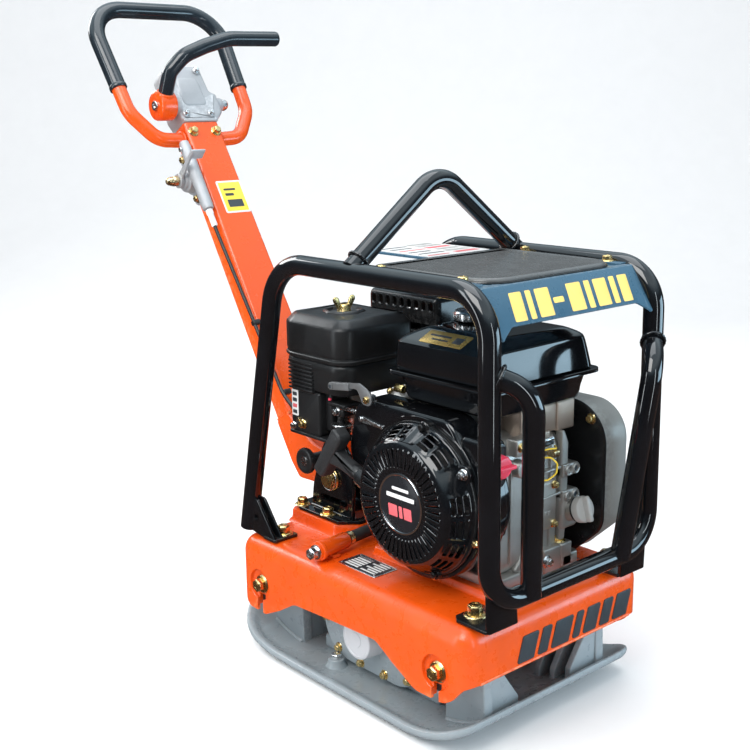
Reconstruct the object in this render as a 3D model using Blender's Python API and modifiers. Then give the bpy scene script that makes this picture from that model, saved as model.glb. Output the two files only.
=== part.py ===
"""Reversible vibratory plate compactor, about 65 kg class.

Metres, +Z up.  The ground is z = 0, x = 0 is the machine's centre plane, the front faces -Y and the
operator stands at +Y.  The recoil starter is on the -X side (left), the belt drive on +X (right).
The vibrating lower mass carries the hood, engine, guard frame and handle on four rubber mounts.
"""
import bpy
import bmesh
from math import acos, atan2, cos, degrees, pi, radians, sin, sqrt, tan
from mathutils import Matrix, Vector

# ------------------------------------------------------------------ driving dimensions (metres)
GAP = 0.0003                # clearance between separate pieces
DETAIL = 0.7                # share of the full number of facets on round pieces
BEND_STEP = radians(20)     # turn per segment in a tube's bends
SIDES = (("left", -1), ("right", 1))

# base plate
PLATE_HALF = 0.175          # half width
PLATE_FRONT, PLATE_REAR = -0.2215, 0.262
PLATE_T = 0.009
FRONT_CURL_Y, FRONT_CURL_R = -0.120, 0.1730     # where the underside starts to curl up
REAR_CURL_Y, REAR_CURL_R = 0.13, 0.200
SIDE_CURL_X, SIDE_CURL_RATE = 0.135, 4.0        # parabolic rise towards the sides

# exciter: shafts at y = +-EXC_Y
EXC_Y, EXC_Z = 0.045, 0.072
EXC_R, EXC_BORE_R = 0.0540, 0.0490              # end radii of the case, outside and inside
EXC_HALF = 0.105                                # half length of the case along X

# rubber mounts
MOUNT_YS = {"front": -0.176, "rear": 0.180}
MOUNT_Z = 0.103

# hood
BODY_HALF = 0.1669
BODY_FRONT, BODY_REAR, BODY_TOP = -0.2289, 0.2289, 0.1690
BODY_T = 0.0045

# engine and belt
CRANK_Y, CRANK_Z = -0.087, 0.286
CRANK = Vector((0, CRANK_Y, CRANK_Z))
CYL_TILT = radians(25)                          # cylinder axis above +Y
CYL_DIR = Vector((0, cos(CYL_TILT), sin(CYL_TILT)))
PISTON_PIN = 0.0760                             # distance from the crank along CYL_DIR
SHAFT_HOLE_R = 0.0132
ENGINE_FOOT_Z = 0.1793
BELT_X = 0.1285                                 # middle plane of the V-belt
BELT_WINDOW_FRONT, BELT_WINDOW_REAR = -0.1300, -0.0150  # opening in the cover's underside
GRIP = Vector((-0.1200, 0.0680, 0.3146))        # starter grip
ROPE = Vector((0, 0.9496, 0.3134))              # line its rope runs along
FUEL_CAP = (0.0160, -0.0600, 0.5000)
WING_NUT = (-0.0450, 0.1280, 0.4930)
SWITCH = (-0.0860, -0.2060, 0.3490)
OIL_CAP = Vector((0.0690, -0.2150, 0.2620))
OIL_DIR = Vector((0, -0.96, 0.28))

# guard frame
HOOP_X, HOOP_TOP = 0.149, 0.566
HOOP_FRONT, HOOP_REAR = -0.242, 0.142
TUBE_R = 0.0130

# handle
STAND_TOP = 0.1918
EAR_INNER, EAR_OUTER = 0.0480, 0.0540
PIVOT = Vector((0.0, 0.152, 0.2430))            # handle pivot axis, along X
LOCK_Y, LOCK_Z = 0.1500, 0.2800                 # lock knob axis, along X
LEAN = radians(32.0)                            # working lean of the column behind vertical
# From the column's own frame (+Z up along it, -Y out of its front face, origin on the pivot)
LEAN_M = Matrix.Translation(PIVOT) @ Matrix.Rotation(-LEAN, 4, "X")
HUB = (0.0665, 0.6600)                          # travel lever axis, column's own y and z
LEVER_X = -0.0545                               # middle of the lever hub
THROTTLE = (0.0850, 0.5350)                     # throttle lever axis, likewise

# ------------------------------------------------------------------ a clean start
for old_object in list(bpy.data.objects):
    bpy.data.objects.remove(old_object, do_unlink=True)
PARTS = bpy.data.collections.new("plate_compactor")
CUTTERS = bpy.data.collections.new("plate_compactor_cutters")
bpy.context.scene.collection.children.link(PARTS)
bpy.context.scene.collection.children.link(CUTTERS)


# ------------------------------------------------------------------ materials
def material(name, color, roughness, metallic=0.0):
    mat = bpy.data.materials.get(name) or bpy.data.materials.new(name)
    mat.use_nodes = True
    mat.diffuse_color = (*color, 1.0)
    shader = mat.node_tree.nodes["Principled BSDF"]
    shader.inputs["Base Color"].default_value = (*color, 1.0)
    shader.inputs["Roughness"].default_value = roughness
    shader.inputs["Metallic"].default_value = metallic
    return mat


ORANGE = material("orange_paint", color=(0.87, 0.12, 0.02), roughness=0.32)
BLACK = material("black_paint", color=(0.012, 0.013, 0.016), roughness=0.22)
COVER = material("cover_paint", color=(0.035, 0.065, 0.10), roughness=0.38)
GREY = material("grey_paint", color=(0.33, 0.35, 0.37), roughness=0.45)
ALU = material("raw_aluminium", color=(0.52, 0.52, 0.52), roughness=0.48, metallic=0.9)
CAST_IRON = material("cast_iron", color=(0.13, 0.13, 0.14), roughness=0.6, metallic=0.8)
STEEL = material("steel", color=(0.45, 0.45, 0.46), roughness=0.3, metallic=1.0)
ZINC = material("gold_zinc", color=(0.62, 0.50, 0.24), roughness=0.32, metallic=0.9)
BRASS = material("brass", color=(0.62, 0.48, 0.28), roughness=0.3, metallic=1.0)
PLASTIC = material("black_plastic", color=(0.02, 0.02, 0.022), roughness=0.5)
RUBBER = material("rubber", color=(0.015, 0.015, 0.016), roughness=0.75)
SILVER = material("silver_paint", color=(0.42, 0.42, 0.41), roughness=0.4, metallic=0.5)
RED = material("red_plastic", color=(0.75, 0.07, 0.10), roughness=0.4)
FOAM = material("filter_foam", color=(0.10, 0.10, 0.11), roughness=0.9)


# ------------------------------------------------------------------ modelling helpers
# Turns local XY into the plane across an axis: (y, z), (x, z) or (x, y)
ACROSS = {
    "x": Matrix(((0, 0, 1, 0), (1, 0, 0, 0), (0, 1, 0, 0), (0, 0, 0, 1))),
    "y": Matrix(((1, 0, 0, 0), (0, 0, -1, 0), (0, 1, 0, 0), (0, 0, 0, 1))),
    "z": Matrix.Identity(4),
}


def facets(n):
    return n if n <= 8 else max(10, 2 * int(round(n * DETAIL / 2)))


def arc(cx, cy, r, start, end, n):
    """n + 1 points round (cx, cy) from start to end, in degrees."""
    angles = [radians(start + (end - start) * k / n) for k in range(n + 1)]
    return [(cx + r * cos(a), cy + r * sin(a)) for a in angles]


def from_bm(name, bm, mat=None):
    bmesh.ops.recalc_face_normals(bm, faces=bm.faces)
    mesh = bpy.data.meshes.new(name)
    bm.to_mesh(mesh)
    bm.free()
    ob = bpy.data.objects.new(name, mesh)
    PARTS.objects.link(ob)
    if mat is not None:
        mesh.materials.append(mat)
    return ob


def evaluated_mesh(ob):
    bpy.context.view_layer.update()
    return bpy.data.meshes.new_from_object(
        ob.evaluated_get(bpy.context.evaluated_depsgraph_get()))


def bake(name, data, modify=None):
    """The welded bmesh of a temporary object that holds a curve or a mesh."""
    helper = bpy.data.objects.new(name, data)
    CUTTERS.objects.link(helper)
    if modify:
        modify(helper)
    mesh = evaluated_mesh(helper)
    bpy.data.objects.remove(helper, do_unlink=True)
    bm = bmesh.new()
    bm.from_mesh(mesh)
    bmesh.ops.remove_doubles(bm, verts=bm.verts, dist=1e-6)
    return bm


def add_spline(curve, points, cyclic):
    spline = curve.splines.new("POLY")
    spline.points.add(len(points) - 1)
    for target, (x, y, z) in zip(spline.points, points):
        target.co = (x, y, z, 1)
    spline.use_cyclic_u = cyclic


def box(name, x0, x1, y0, y1, z0, z1, mat=None, r=0.0, seg=2, edges="all"):
    """A box with some of its edges rounded: all, vert (upright) or topvert (upright and top)."""
    bm = bmesh.new()
    bmesh.ops.create_cube(bm, size=1.0)
    for v in bm.verts:
        v.co = Vector((x0 + (v.co.x + .5) * (x1 - x0), y0 + (v.co.y + .5) * (y1 - y0),
                       z0 + (v.co.z + .5) * (z1 - z0)))
    if r > 0:
        near_top = z1 - 1e-6
        picked = []
        for edge in bm.edges:
            a, b = edge.verts
            upright = abs(a.co.z - b.co.z) > 1e-6
            top = a.co.z > near_top and b.co.z > near_top
            if edges == "all" or upright or (edges == "topvert" and top):
                picked.append(edge)
        bmesh.ops.bevel(bm, geom=picked, offset=r, segments=seg, profile=0.5,
                        affect="EDGES", clamp_overlap=True)
    return from_bm(name, bm, mat)


def rod(name, p0, p1, r, mat=None, n=24, r2=None):
    """A cylinder or cone from p0 to p1."""
    p0, p1 = Vector(p0), Vector(p1)
    span = p1 - p0
    bm = bmesh.new()
    bmesh.ops.create_cone(bm, cap_ends=True, segments=facets(n), radius1=r,
                          radius2=r if r2 is None else r2, depth=span.length)
    turn = Vector((0, 0, 1)).rotation_difference(span.normalized()).to_matrix().to_4x4()
    bmesh.ops.transform(bm, matrix=Matrix.Translation((p0 + p1) / 2) @ turn, verts=bm.verts)
    return from_bm(name, bm, mat)


def x_rod(name, x0, x1, y, z, r, mat=None, n=24, r2=None):
    """A rod along X."""
    return rod(name, (x0, y, z), (x1, y, z), r, mat, n, r2)


def z_rod(name, x, y, z0, z1, r, mat=None, n=24):
    """A rod along Z."""
    return rod(name, (x, y, z0), (x, y, z1), r, mat, n)


def hexhead(name, p0, p1, across, mat=None):
    """A hexagonal head or nut between two points, by its width across flats."""
    return rod(name, p0, p1, across / sqrt(3), mat, n=6)


def flat(name, points, a0, a1, axis="x", mat=None, holes=()):
    """A flat outline in the plane across an axis (see ACROSS), extruded from a0 to a1."""
    curve = bpy.data.curves.new(name, "CURVE")
    curve.dimensions = "2D"
    curve.fill_mode = "BOTH"
    curve.extrude = abs(a1 - a0) / 2
    curve.resolution_u = 1
    for ring in (points, *holes):
        add_spline(curve, [(u, v, 0) for u, v in ring], True)
    bm = bake(name, curve)
    middle = [(a0 + a1) / 2 if axis == letter else 0 for letter in "xyz"]
    bmesh.ops.transform(bm, matrix=Matrix.Translation(middle) @ ACROSS[axis], verts=bm.verts)
    return from_bm(name, bm, mat)


def bent(points, radii):
    """The polyline through points, each inner corner rounded by its radius."""
    points = [Vector(p) for p in points]
    if isinstance(radii, float):
        radii = [radii] * (len(points) - 2)
    out = [points[0]]
    for before, corner, after, r in zip(points, points[1:], points[2:], radii):
        u, v = (before - corner).normalized(), (after - corner).normalized()
        angle = u.angle(v)
        turn = pi - angle
        setback = r / tan(angle / 2)
        centre = corner + (u + v).normalized() * (r / sin(angle / 2))
        start, end = corner + u * setback - centre, corner + v * setback - centre
        axis = start.cross(end).normalized()
        n = max(2, int(round(turn / BEND_STEP)))
        for k in range(n + 1):
            out.append(centre + Matrix.Rotation(turn * k / n, 3, axis) @ start)
    out.append(points[-1])
    return out


def tube(name, points, r, mat=None, res=2):
    """A round bar along a polyline, as a mesh with welded caps."""
    curve = bpy.data.curves.new(name, "CURVE")
    curve.dimensions = "3D"
    curve.bevel_depth = r
    curve.bevel_resolution = res
    curve.use_fill_caps = True
    curve.resolution_u = 1
    curve.twist_mode = "MINIMUM"
    add_spline(curve, points, False)
    return from_bm(name, bake(name, curve), mat)


def turned(name, profile, centre, axis="x", mat=None, n=32):
    """An (along, radius) profile turned about an axis through centre.

    A profile that starts on the axis stays open there; any other is closed into a ring.
    """
    mesh = bpy.data.meshes.new(name)
    bm = bmesh.new()
    verts = [bm.verts.new((r, 0.0, along)) for along, r in profile]
    for pair in zip(verts, verts[1:]):
        bm.edges.new(pair)
    if profile[0][1] > 1e-9:
        bm.edges.new((verts[-1], verts[0]))
    bm.to_mesh(mesh)
    bm.free()

    def screw(helper):
        mod = helper.modifiers.new("Screw", "SCREW")
        mod.axis = "Z"
        mod.angle = 2 * pi
        mod.steps = mod.render_steps = facets(n)
        mod.use_merge_vertices = True
        mod.merge_threshold = 1e-5

    bm = bake(name, mesh, screw)
    bmesh.ops.transform(bm, matrix=Matrix.Translation(centre) @ ACROSS[axis], verts=bm.verts)
    return from_bm(name, bm, mat)


def place(ob, matrix):
    ob.data.transform(matrix)
    ob.data.update()
    return ob


def boolean(base, other, operation):
    """Apply an exact boolean to base, weld the result and remove the other object."""
    mod = base.modifiers.new(operation.lower(), "BOOLEAN")
    mod.operation = operation
    mod.solver = "EXACT"
    mod.object = other
    mesh = evaluated_mesh(base)
    base.modifiers.remove(mod)
    old = base.data
    base.data = mesh
    bpy.data.meshes.remove(old)
    bm = bmesh.new()
    bm.from_mesh(mesh)
    bmesh.ops.remove_doubles(bm, verts=bm.verts, dist=2e-6)
    bmesh.ops.dissolve_degenerate(bm, edges=bm.edges, dist=1e-6)
    bm.to_mesh(mesh)
    bm.free()
    bpy.data.objects.remove(other, do_unlink=True)


def add(base, *others):
    for other in others:
        boolean(base, other, "UNION")


def cut(base, *others):
    for other in others:
        boolean(base, other, "DIFFERENCE")


def smooth(ob, angle=35):
    """Smooth shading, with edges sharper than the angle in degrees kept sharp."""
    ob.data.shade_smooth()
    ob.data.set_sharp_from_angle(angle=radians(angle))


# ================================================================== lower mass
def plate_floor(x, y):
    """Height of the plate's underside."""
    z = 0.0
    if y < FRONT_CURL_Y:
        z = FRONT_CURL_R - sqrt(FRONT_CURL_R ** 2 - (FRONT_CURL_Y - y) ** 2)
    elif y > REAR_CURL_Y:
        z = REAR_CURL_R - sqrt(REAR_CURL_R ** 2 - (y - REAR_CURL_Y) ** 2)
    side = max(0.0, abs(x) - SIDE_CURL_X)
    return z + side * side * SIDE_CURL_RATE


def curled_plate():
    """The plate's outline, sliced across and along so that it can follow plate_floor."""
    front_r, rear_r = 0.035, 0.085
    ring = []
    for s, r, y, start in ((1, front_r, PLATE_FRONT + front_r, -90),
                           (1, rear_r, PLATE_REAR - rear_r, 0),
                           (-1, rear_r, PLATE_REAR - rear_r, 90),
                           (-1, front_r, PLATE_FRONT + front_r, 180)):
        ring += arc(s * (PLATE_HALF - r), y, r, start, start + 90, 4)
    ob = flat("base_plate", ring, 0.0, PLATE_T, "z", GREY)
    slices = [((0, y, 0), (0, 1, 0)) for y in (-0.202, -0.180, -0.155, FRONT_CURL_Y, REAR_CURL_Y,
                                               0.160, 0.185, 0.210, 0.235)]
    slices += [((x, 0, 0), (1, 0, 0)) for x in (-0.158, -SIDE_CURL_X, SIDE_CURL_X, 0.158)]
    bm = bmesh.new()
    bm.from_mesh(ob.data)
    for point, normal in slices:
        bmesh.ops.bisect_plane(bm, geom=bm.verts[:] + bm.edges[:] + bm.faces[:],
                               plane_co=point, plane_no=normal)
    bmesh.ops.triangulate(bm, faces=bm.faces[:])
    for v in bm.verts:
        v.co.z += plate_floor(v.co.x, v.co.y)
    bm.to_mesh(ob.data)
    bm.free()
    return ob


def mount_bracket(s, y0, y1):
    """Upright plate beside a rubber mount, with a gusset on its inner face."""
    def inside_plate(y):
        return plate_floor(0, y) + PLATE_T * 0.5

    top = 0.134
    outline = [(y0, top), (y1, top)]
    for k in range(5):
        y = y1 + (y0 - y1) * k / 4
        outline.append((y, inside_plate(y)))
    bracket = flat("bracket", outline, s * 0.100, s * 0.1160, "x")
    middle = (y0 + y1) / 2
    foot = inside_plate(middle)
    add(bracket, flat("gusset", [(s * 0.1010, 0.112), (s * 0.1010, foot), (s * 0.055, foot),
                                 (s * 0.055, 0.028)], middle - 0.006, middle + 0.006, "y"))
    return bracket


def base_plate():
    ob = curled_plate()
    for s in (-1, 1):
        for y0, y1 in ((-0.210, -0.142), (0.146, 0.214)):
            add(ob, mount_bracket(s, y0, y1))
    # oil drain boss beside the exciter
    add(ob, z_rod("boss", -0.125, 0.062, 0.005, 0.020, 0.0105, n=16))
    smooth(ob)


def stadium(r):
    """(y, z) outline round both eccentric shafts."""
    return arc(EXC_Y, EXC_Z, r, -90, 90, 7) + arc(-EXC_Y, EXC_Z, r, 90, 270, 7)


def exciter_case():
    case = flat("exciter_case", stadium(EXC_R), -EXC_HALF, EXC_HALF, "x", GREY)
    add(case, box("feet", -0.100, 0.100, -0.116, 0.118, PLATE_T + GAP, 0.030))
    cut(case, flat("cavity", stadium(EXC_BORE_R), -0.12, 0.12, "x"))
    for s in (-1, 1):
        for y in (-0.107, 0.107):
            add(case, hexhead("bolt", (s * 0.075, y, 0.029), (s * 0.075, y, 0.040), 0.019))
    smooth(case)


def exciter_cover(name, s):
    """End cover with two bearing seats."""
    cover = flat(name, stadium(EXC_R), s * (EXC_HALF + GAP), s * 0.1150, "x", GREY)
    for y in (-EXC_Y, EXC_Y):
        add(cover, x_rod("seat", s * 0.0880, s * 0.1060, y, EXC_Z, 0.0360, n=28))
    for y in (-EXC_Y, EXC_Y):
        cut(cover, x_rod("bore", s * 0.0800, s * 0.1040, y, EXC_Z, 0.0283))
    return cover


def exciter_covers():
    left = exciter_cover("exciter_cover_left", -1)
    add(left, x_rod("cylinder", -0.112, -0.1420, 0.0, EXC_Z + 0.002, 0.0275, n=32))
    add(left, z_rod("port", -0.128, 0.0, EXC_Z + 0.026, EXC_Z + 0.040, 0.0080, n=12))
    smooth(left)
    right = exciter_cover("exciter_cover_right", 1)
    cut(right, x_rod("shaft hole", 0.09, 0.13, -EXC_Y, EXC_Z, 0.0118))
    smooth(right)


def gear(y, phase):
    teeth = 20
    root_r, tip_r = 0.0412, 0.0465
    points = []
    for k in range(teeth):
        for offset, r in ((-0.30, root_r), (-0.14, tip_r), (0.14, tip_r), (0.30, root_r)):
            a = 2 * pi * (k + phase + offset) / teeth
            points.append((y + r * cos(a), EXC_Z + r * sin(a)))
    return flat("gear", points, -0.0820, -0.0700, "x")


def eccentric_shaft(name, y, phase, x1):
    """Shaft with a half-round weight hanging below it and a gear turned by phase teeth."""
    shaft = x_rod(name, -0.1035, x1, y, EXC_Z, 0.0110, STEEL, n=20)
    weight = flat("weight", arc(y, EXC_Z, 0.0360, 180, 360, 8), -0.055, 0.070, "x")
    add(shaft, weight, gear(y, phase))
    smooth(shaft)


def exciter_bearings():
    for side, s in SIDES:
        for end, y in (("front", -EXC_Y), ("rear", EXC_Y)):
            bearing = x_rod(f"exciter_bearing_{end}_{side}", s * 0.0892, s * 0.1032, y, EXC_Z,
                            0.0280, STEEL)
            cut(bearing, x_rod("hole", s * 0.08, s * 0.11, y, EXC_Z, 0.0113, n=20))
            smooth(bearing)


def exciter_pulley():
    """V pulley on the front shaft."""
    profile = [(0.0095, 0.0112), (0.0095, 0.0270), (0.0075, 0.0270), (0.0040, 0.0155),
               (-0.0040, 0.0155), (-0.0075, 0.0270), (-0.0095, 0.0270), (-0.0095, 0.0112)]
    smooth(turned("exciter_pulley", profile, (BELT_X, -EXC_Y, EXC_Z), "x", CAST_IRON, 28))


def rubber_mounts():
    # right-hand mount, from its outer face inwards
    profile = [(0.1566, 0.0), (0.1566, 0.0290), (0.1545, 0.0290), (0.1520, 0.0255),
               (0.1215, 0.0255), (0.1190, 0.0290), (0.1166, 0.0290), (0.1166, 0.0)]
    to_left = Matrix.Translation((0, 0, 2 * MOUNT_Z)) @ Matrix.Rotation(pi, 4, "Y")
    for end, y in MOUNT_YS.items():
        for side, s in SIDES:
            mount = turned(f"rubber_mount_{end}_{side}", profile, (0, y, MOUNT_Z), "x", RUBBER, 20)
            if s < 0:
                place(mount, to_left)
            smooth(mount)


# ================================================================== hood
# (y, z) outline of what is cut away below the hood's side walls
SIDE_EDGE = [
    (0.26, 0.150), (0.2289, 0.140), (0.2235, 0.078), (0.205, 0.0640), (0.168, 0.0620),
    (0.135, 0.078), (0.100, 0.0990), (0.02, 0.1035), (-0.068, 0.1070), (-0.10, 0.088),
    (-0.141, 0.0670), (-0.190, 0.0680), (-0.2044, 0.0770), (-0.218, 0.094), (-0.2289, 0.0990),
    (-0.26, 0.0990), (-0.26, 0.0), (0.26, 0.0),
]


def handle_bed():
    """Raised bed for the handle stand, with cut corners."""
    half, corner, front, rear = 0.078, 0.026, 0.092, 0.2265
    shoulder_front, shoulder_rear = front + corner, 0.240 - corner
    inner = half - corner
    outline = [(-inner, front), (inner, front), (half, shoulder_front), (half, shoulder_rear),
               (inner, rear), (-inner, rear), (-half, shoulder_rear), (-half, shoulder_front)]
    return flat("handle bed", outline, BODY_TOP - 0.003, 0.1865, "z")


def mount_cup(body, s, y):
    """Cup that holds a rubber mount, with its pocket, drop-in slot and bolt."""
    add(body, x_rod("cup", s * 0.1569, s * 0.1660, y, MOUNT_Z, 0.0330))
    cut(body, x_rod("pocket", s * 0.1619, s * 0.1750, y, MOUNT_Z, 0.0225))
    cut(body, box("slot", s * 0.155, s * 0.175, y - 0.0065, y + 0.0065, 0.03, MOUNT_Z - 0.0150))
    bolt = x_rod("washer", s * 0.1600, s * 0.1645, y, MOUNT_Z, 0.0140, n=20)
    add(bolt, hexhead("head", (s * 0.1640, y, MOUNT_Z), (s * 0.1745, y, MOUNT_Z), 0.0170))
    add(body, bolt)


def main_body():
    t = BODY_T
    body = box("main_body", -BODY_HALF, BODY_HALF, BODY_FRONT, BODY_REAR, 0.03, BODY_TOP,
               ORANGE, r=0.020, edges="topvert")
    cut(body, box("inside", -BODY_HALF + t, BODY_HALF - t, BODY_FRONT + t, BODY_REAR - t,
                  0.0, BODY_TOP - t, r=0.0165, edges="topvert"))
    cut(body, flat("side edge", SIDE_EDGE, -0.2, 0.2, "x"))
    add(body, box("engine bed", -0.078, 0.092, -0.190, 0.038, BODY_TOP - 0.003, 0.1790,
                  r=0.006, seg=1, edges="topvert"))
    add(body, handle_bed())
    for s in (-1, 1):
        for y in MOUNT_YS.values():
            mount_cup(body, s, y)
    cut(body, box("belt slot", 0.112, 0.146, -0.135, -0.012, 0.15, 0.19))
    cut(body, z_rod("hose hole", 0.0, 0.075, 0.14, 0.20, 0.010, n=16))
    smooth(body, 40)


# ================================================================== belt drive
def inset_outline(points, inset):
    """Points moved towards their mean by inset (away from it when negative)."""
    mean_y = sum(p[0] for p in points) / len(points)
    mean_z = sum(p[1] for p in points) / len(points)
    out = []
    for y, z in points:
        v = Vector((y - mean_y, z - mean_z))
        v = v * ((v.length - inset) / v.length)
        out.append((mean_y + v.x, mean_z + v.y))
    return out


def belt_cover():
    """Rounded shield shape around clutch and belt, with its back plate."""
    wall = 0.0030
    # corner arcs: y from the crank, z, radius, start and end angle
    corners = ((-0.071, 0.336, 0.0500, 180, 90), (0.060, 0.335, 0.0510, 90, 0),
               (0.085, 0.220, 0.0350, 0, -70), (-0.045, 0.2100, 0.0380, -90, -130),
               (-0.090, 0.2420, 0.0310, -140, -180))
    outline = []
    for y, z, r, start, end in corners:
        outline += arc(CRANK_Y + y, z, r, start, end, 4)
    shell = flat("belt_cover", outline, 0.1035, 0.1590, "x", SILVER)
    cut(shell, flat("inside", inset_outline(outline, wall), 0.09, 0.1560, "x"))
    cut(shell, box("window", 0.09, 0.1550, BELT_WINDOW_FRONT, BELT_WINDOW_REAR, 0.10, 0.20))
    smooth(shell)
    back = flat("belt_cover_back", inset_outline(outline, -wall), 0.1000, 0.1032, "x", BLACK)
    cut(back, x_rod("clutch hole", 0.09, 0.12, CRANK_Y, CRANK_Z, 0.066, n=32))
    cut(back, box("window", 0.09, 0.12, BELT_WINDOW_FRONT, BELT_WINDOW_REAR, 0.10, 0.24))
    add(back, box("foot", 0.0935, 0.1030, -0.1750, -0.1350, 0.1697, 0.1740))
    smooth(back)


def clutch_drum():
    """Centrifugal clutch drum with its V pulley."""
    profile = [(0.1385, 0.0135), (0.1385, 0.0400), (0.1360, 0.0400), (0.1325, 0.0290),
               (0.1245, 0.0290), (0.1210, 0.0400), (0.1180, 0.0400), (0.1180, 0.0620),
               (0.1050, 0.0620), (0.0730, 0.0570), (0.0730, 0.0200), (0.0690, 0.0200),
               (0.0690, 0.0135)]
    smooth(turned("clutch_drum", profile, CRANK, "x", CAST_IRON, 32))


def belt_loop(clutch_r, exciter_r):
    """(y, z) outline of a belt round the two pulleys."""
    clutch = Vector((CRANK_Y, CRANK_Z))
    pulley = Vector((-EXC_Y, EXC_Z))
    span = pulley - clutch
    along = degrees(atan2(span.y, span.x))
    wrap = degrees(acos((clutch_r - exciter_r) / span.length))
    return (arc(clutch.x, clutch.y, clutch_r, along + wrap, along + 360 - wrap, 10)
            + arc(pulley.x, pulley.y, exciter_r, along - wrap, along + wrap, 10))


def drive_belt():
    half_width = 0.0032
    smooth(flat("drive_belt", belt_loop(0.0425, 0.0286), BELT_X - half_width,
                BELT_X + half_width, "x", RUBBER, holes=[belt_loop(0.0312, 0.0173)]))


# ================================================================== engine
def slanted(name, *extents, mat=None, r=0.0, seg=2):
    """A box measured from the crank, its own Y along the cylinder's axis."""
    return place(box(name, *extents, mat, r, seg),
                 Matrix.Translation(CRANK) @ Matrix.Rotation(CYL_TILT, 4, "X"))


def on_cylinder(distance, x=0.0):
    return CRANK + CYL_DIR * distance + Vector((x, 0, 0))


def add_fins(base, x0, x1, first, pitch, count):
    for k in range(count):
        start = first + pitch * k
        add(base, slanted("fin", x0, x1, start, start + 0.0035, -0.0560, 0.0560))


def engine_crankcase():
    case = box("engine_crankcase", -0.0600, 0.0480, -0.1780, -0.0150, 0.1850, 0.3700, ALU, r=0.016)
    add(case, box("foot", -0.0680, 0.0480, -0.1860, 0.0300, ENGINE_FOOT_Z, 0.1950,
                  r=0.004, seg=1, edges="topvert"))
    add(case, slanted("cylinder", -0.0450, 0.0440, 0.020, 0.1050, -0.0480, 0.0480, r=0.006, seg=1))
    add_fins(case, -0.0520, 0.0478, first=0.068, pitch=0.012, count=3)
    cut(case, x_rod("cavity", -0.0380, 0.060, CRANK_Y, CRANK_Z, 0.0500, n=32))
    cut(case, rod("bore", CRANK, on_cylinder(0.12), 0.0302, n=28))
    cut(case, x_rod("shaft hole", -0.08, 0.0, CRANK_Y, CRANK_Z, SHAFT_HOLE_R, n=20))
    smooth(case)


def crankcase_side_cover():
    inner_x = 0.0483
    outline = []
    for y, z, start in ((-0.0430, 0.3390, 0), (-0.1490, 0.3390, 90),
                        (-0.1490, 0.2100, 180), (-0.0430, 0.2100, 270)):
        outline += arc(y, z, 0.0250, start, start + 90, 3)
    cover = flat("crankcase_side_cover", outline, inner_x, 0.0640, "x", ALU)
    add(cover, box("foot", inner_x, 0.0600, -0.1880, 0.0300, ENGINE_FOOT_Z, 0.1980,
                   r=0.004, seg=1, edges="vert"))
    # six round bosses: an ellipse clipped to the cover's rectangle
    for k in range(6):
        a = radians(30 + 60 * k)
        y = -0.096 + 0.080 * max(-1, min(1, 1.25 * cos(a)))
        z = 0.280 + 0.084 * max(-1, min(1, 1.25 * sin(a)))
        add(cover, x_rod("boss", 0.0500, 0.0680, y, z, 0.0090, n=12))
    add(cover, box("lug", 0.0484, 0.0830, -0.1870, -0.1600, 0.2370, 0.2660))
    add(cover, rod("oil filler neck", OIL_CAP - OIL_DIR * 0.0370, OIL_CAP - OIL_DIR * 0.0165,
                   0.0135, n=20))
    cut(cover, x_rod("shaft hole", 0.03, 0.08, CRANK_Y, CRANK_Z, SHAFT_HOLE_R, n=20))
    smooth(cover)


def cylinder_head():
    head = slanted("cylinder_head", -0.0480, 0.0440, 0.1053, 0.1330, -0.0500, 0.0500,
                   mat=ALU, r=0.003, seg=1)
    add(head, slanted("end block", -0.0400, 0.0360, 0.1300, 0.1620, -0.0420, 0.0420, r=0.008))
    add_fins(head, -0.0530, 0.0490, first=0.1110, pitch=0.011, count=2)
    smooth(head)


def crankshaft():
    shaft = x_rod("crankshaft", -0.1045, 0.1480, CRANK_Y, CRANK_Z, 0.0125, STEEL, n=20)
    for x0, x1 in ((-0.0300, -0.0150), (0.0150, 0.0300)):
        add(shaft, flat("web", arc(CRANK_Y, CRANK_Z, 0.0380, 115, 425, 8), x0, x1, "x"))
    add(shaft, x_rod("crank pin", -0.020, 0.020, CRANK_Y, CRANK_Z + 0.0210, 0.0100, n=20))
    smooth(shaft)


def piston():
    ob = rod("piston", on_cylinder(0.0620), on_cylinder(0.0980), 0.0298, ALU, n=28)
    cut(ob, rod("hollow", on_cylinder(0.0600), on_cylinder(0.0880), 0.0240, n=20))
    add(ob, rod("pin", on_cylinder(PISTON_PIN, -0.0270), on_cylinder(PISTON_PIN, 0.0270),
                0.0070, n=16))
    smooth(ob)


def connecting_rod():
    ob = rod("connecting_rod", on_cylinder(PISTON_PIN, -0.008), on_cylinder(PISTON_PIN, 0.008),
             0.0118, STEEL, n=20)
    add(ob, slanted("shank", -0.0050, 0.0050, 0.0400, 0.0690, -0.0070, 0.0070))
    cut(ob, rod("pin hole", on_cylinder(PISTON_PIN, -0.02), on_cylinder(PISTON_PIN, 0.02),
                0.0073, n=16))
    smooth(ob)


def flywheel_fan():
    """Flywheel with fan blades and starter cup."""
    profile = [(-0.0980, 0.0128), (-0.0980, 0.0300), (-0.1020, 0.0300), (-0.1020, 0.0340),
               (-0.0900, 0.0340), (-0.0840, 0.0780), (-0.0740, 0.0800), (-0.0740, 0.0128)]
    wheel = turned("flywheel_fan", profile, CRANK, "x", CAST_IRON, 32)
    blades = 8
    for k in range(blades):
        blade = box("blade", -0.0980, -0.0800, -0.0012, 0.0012, 0.0450, 0.0780)
        turn = Matrix.Rotation(2 * pi * k / blades, 4, "X")
        add(wheel, place(blade, Matrix.Translation(CRANK) @ turn))
    smooth(wheel)


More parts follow.
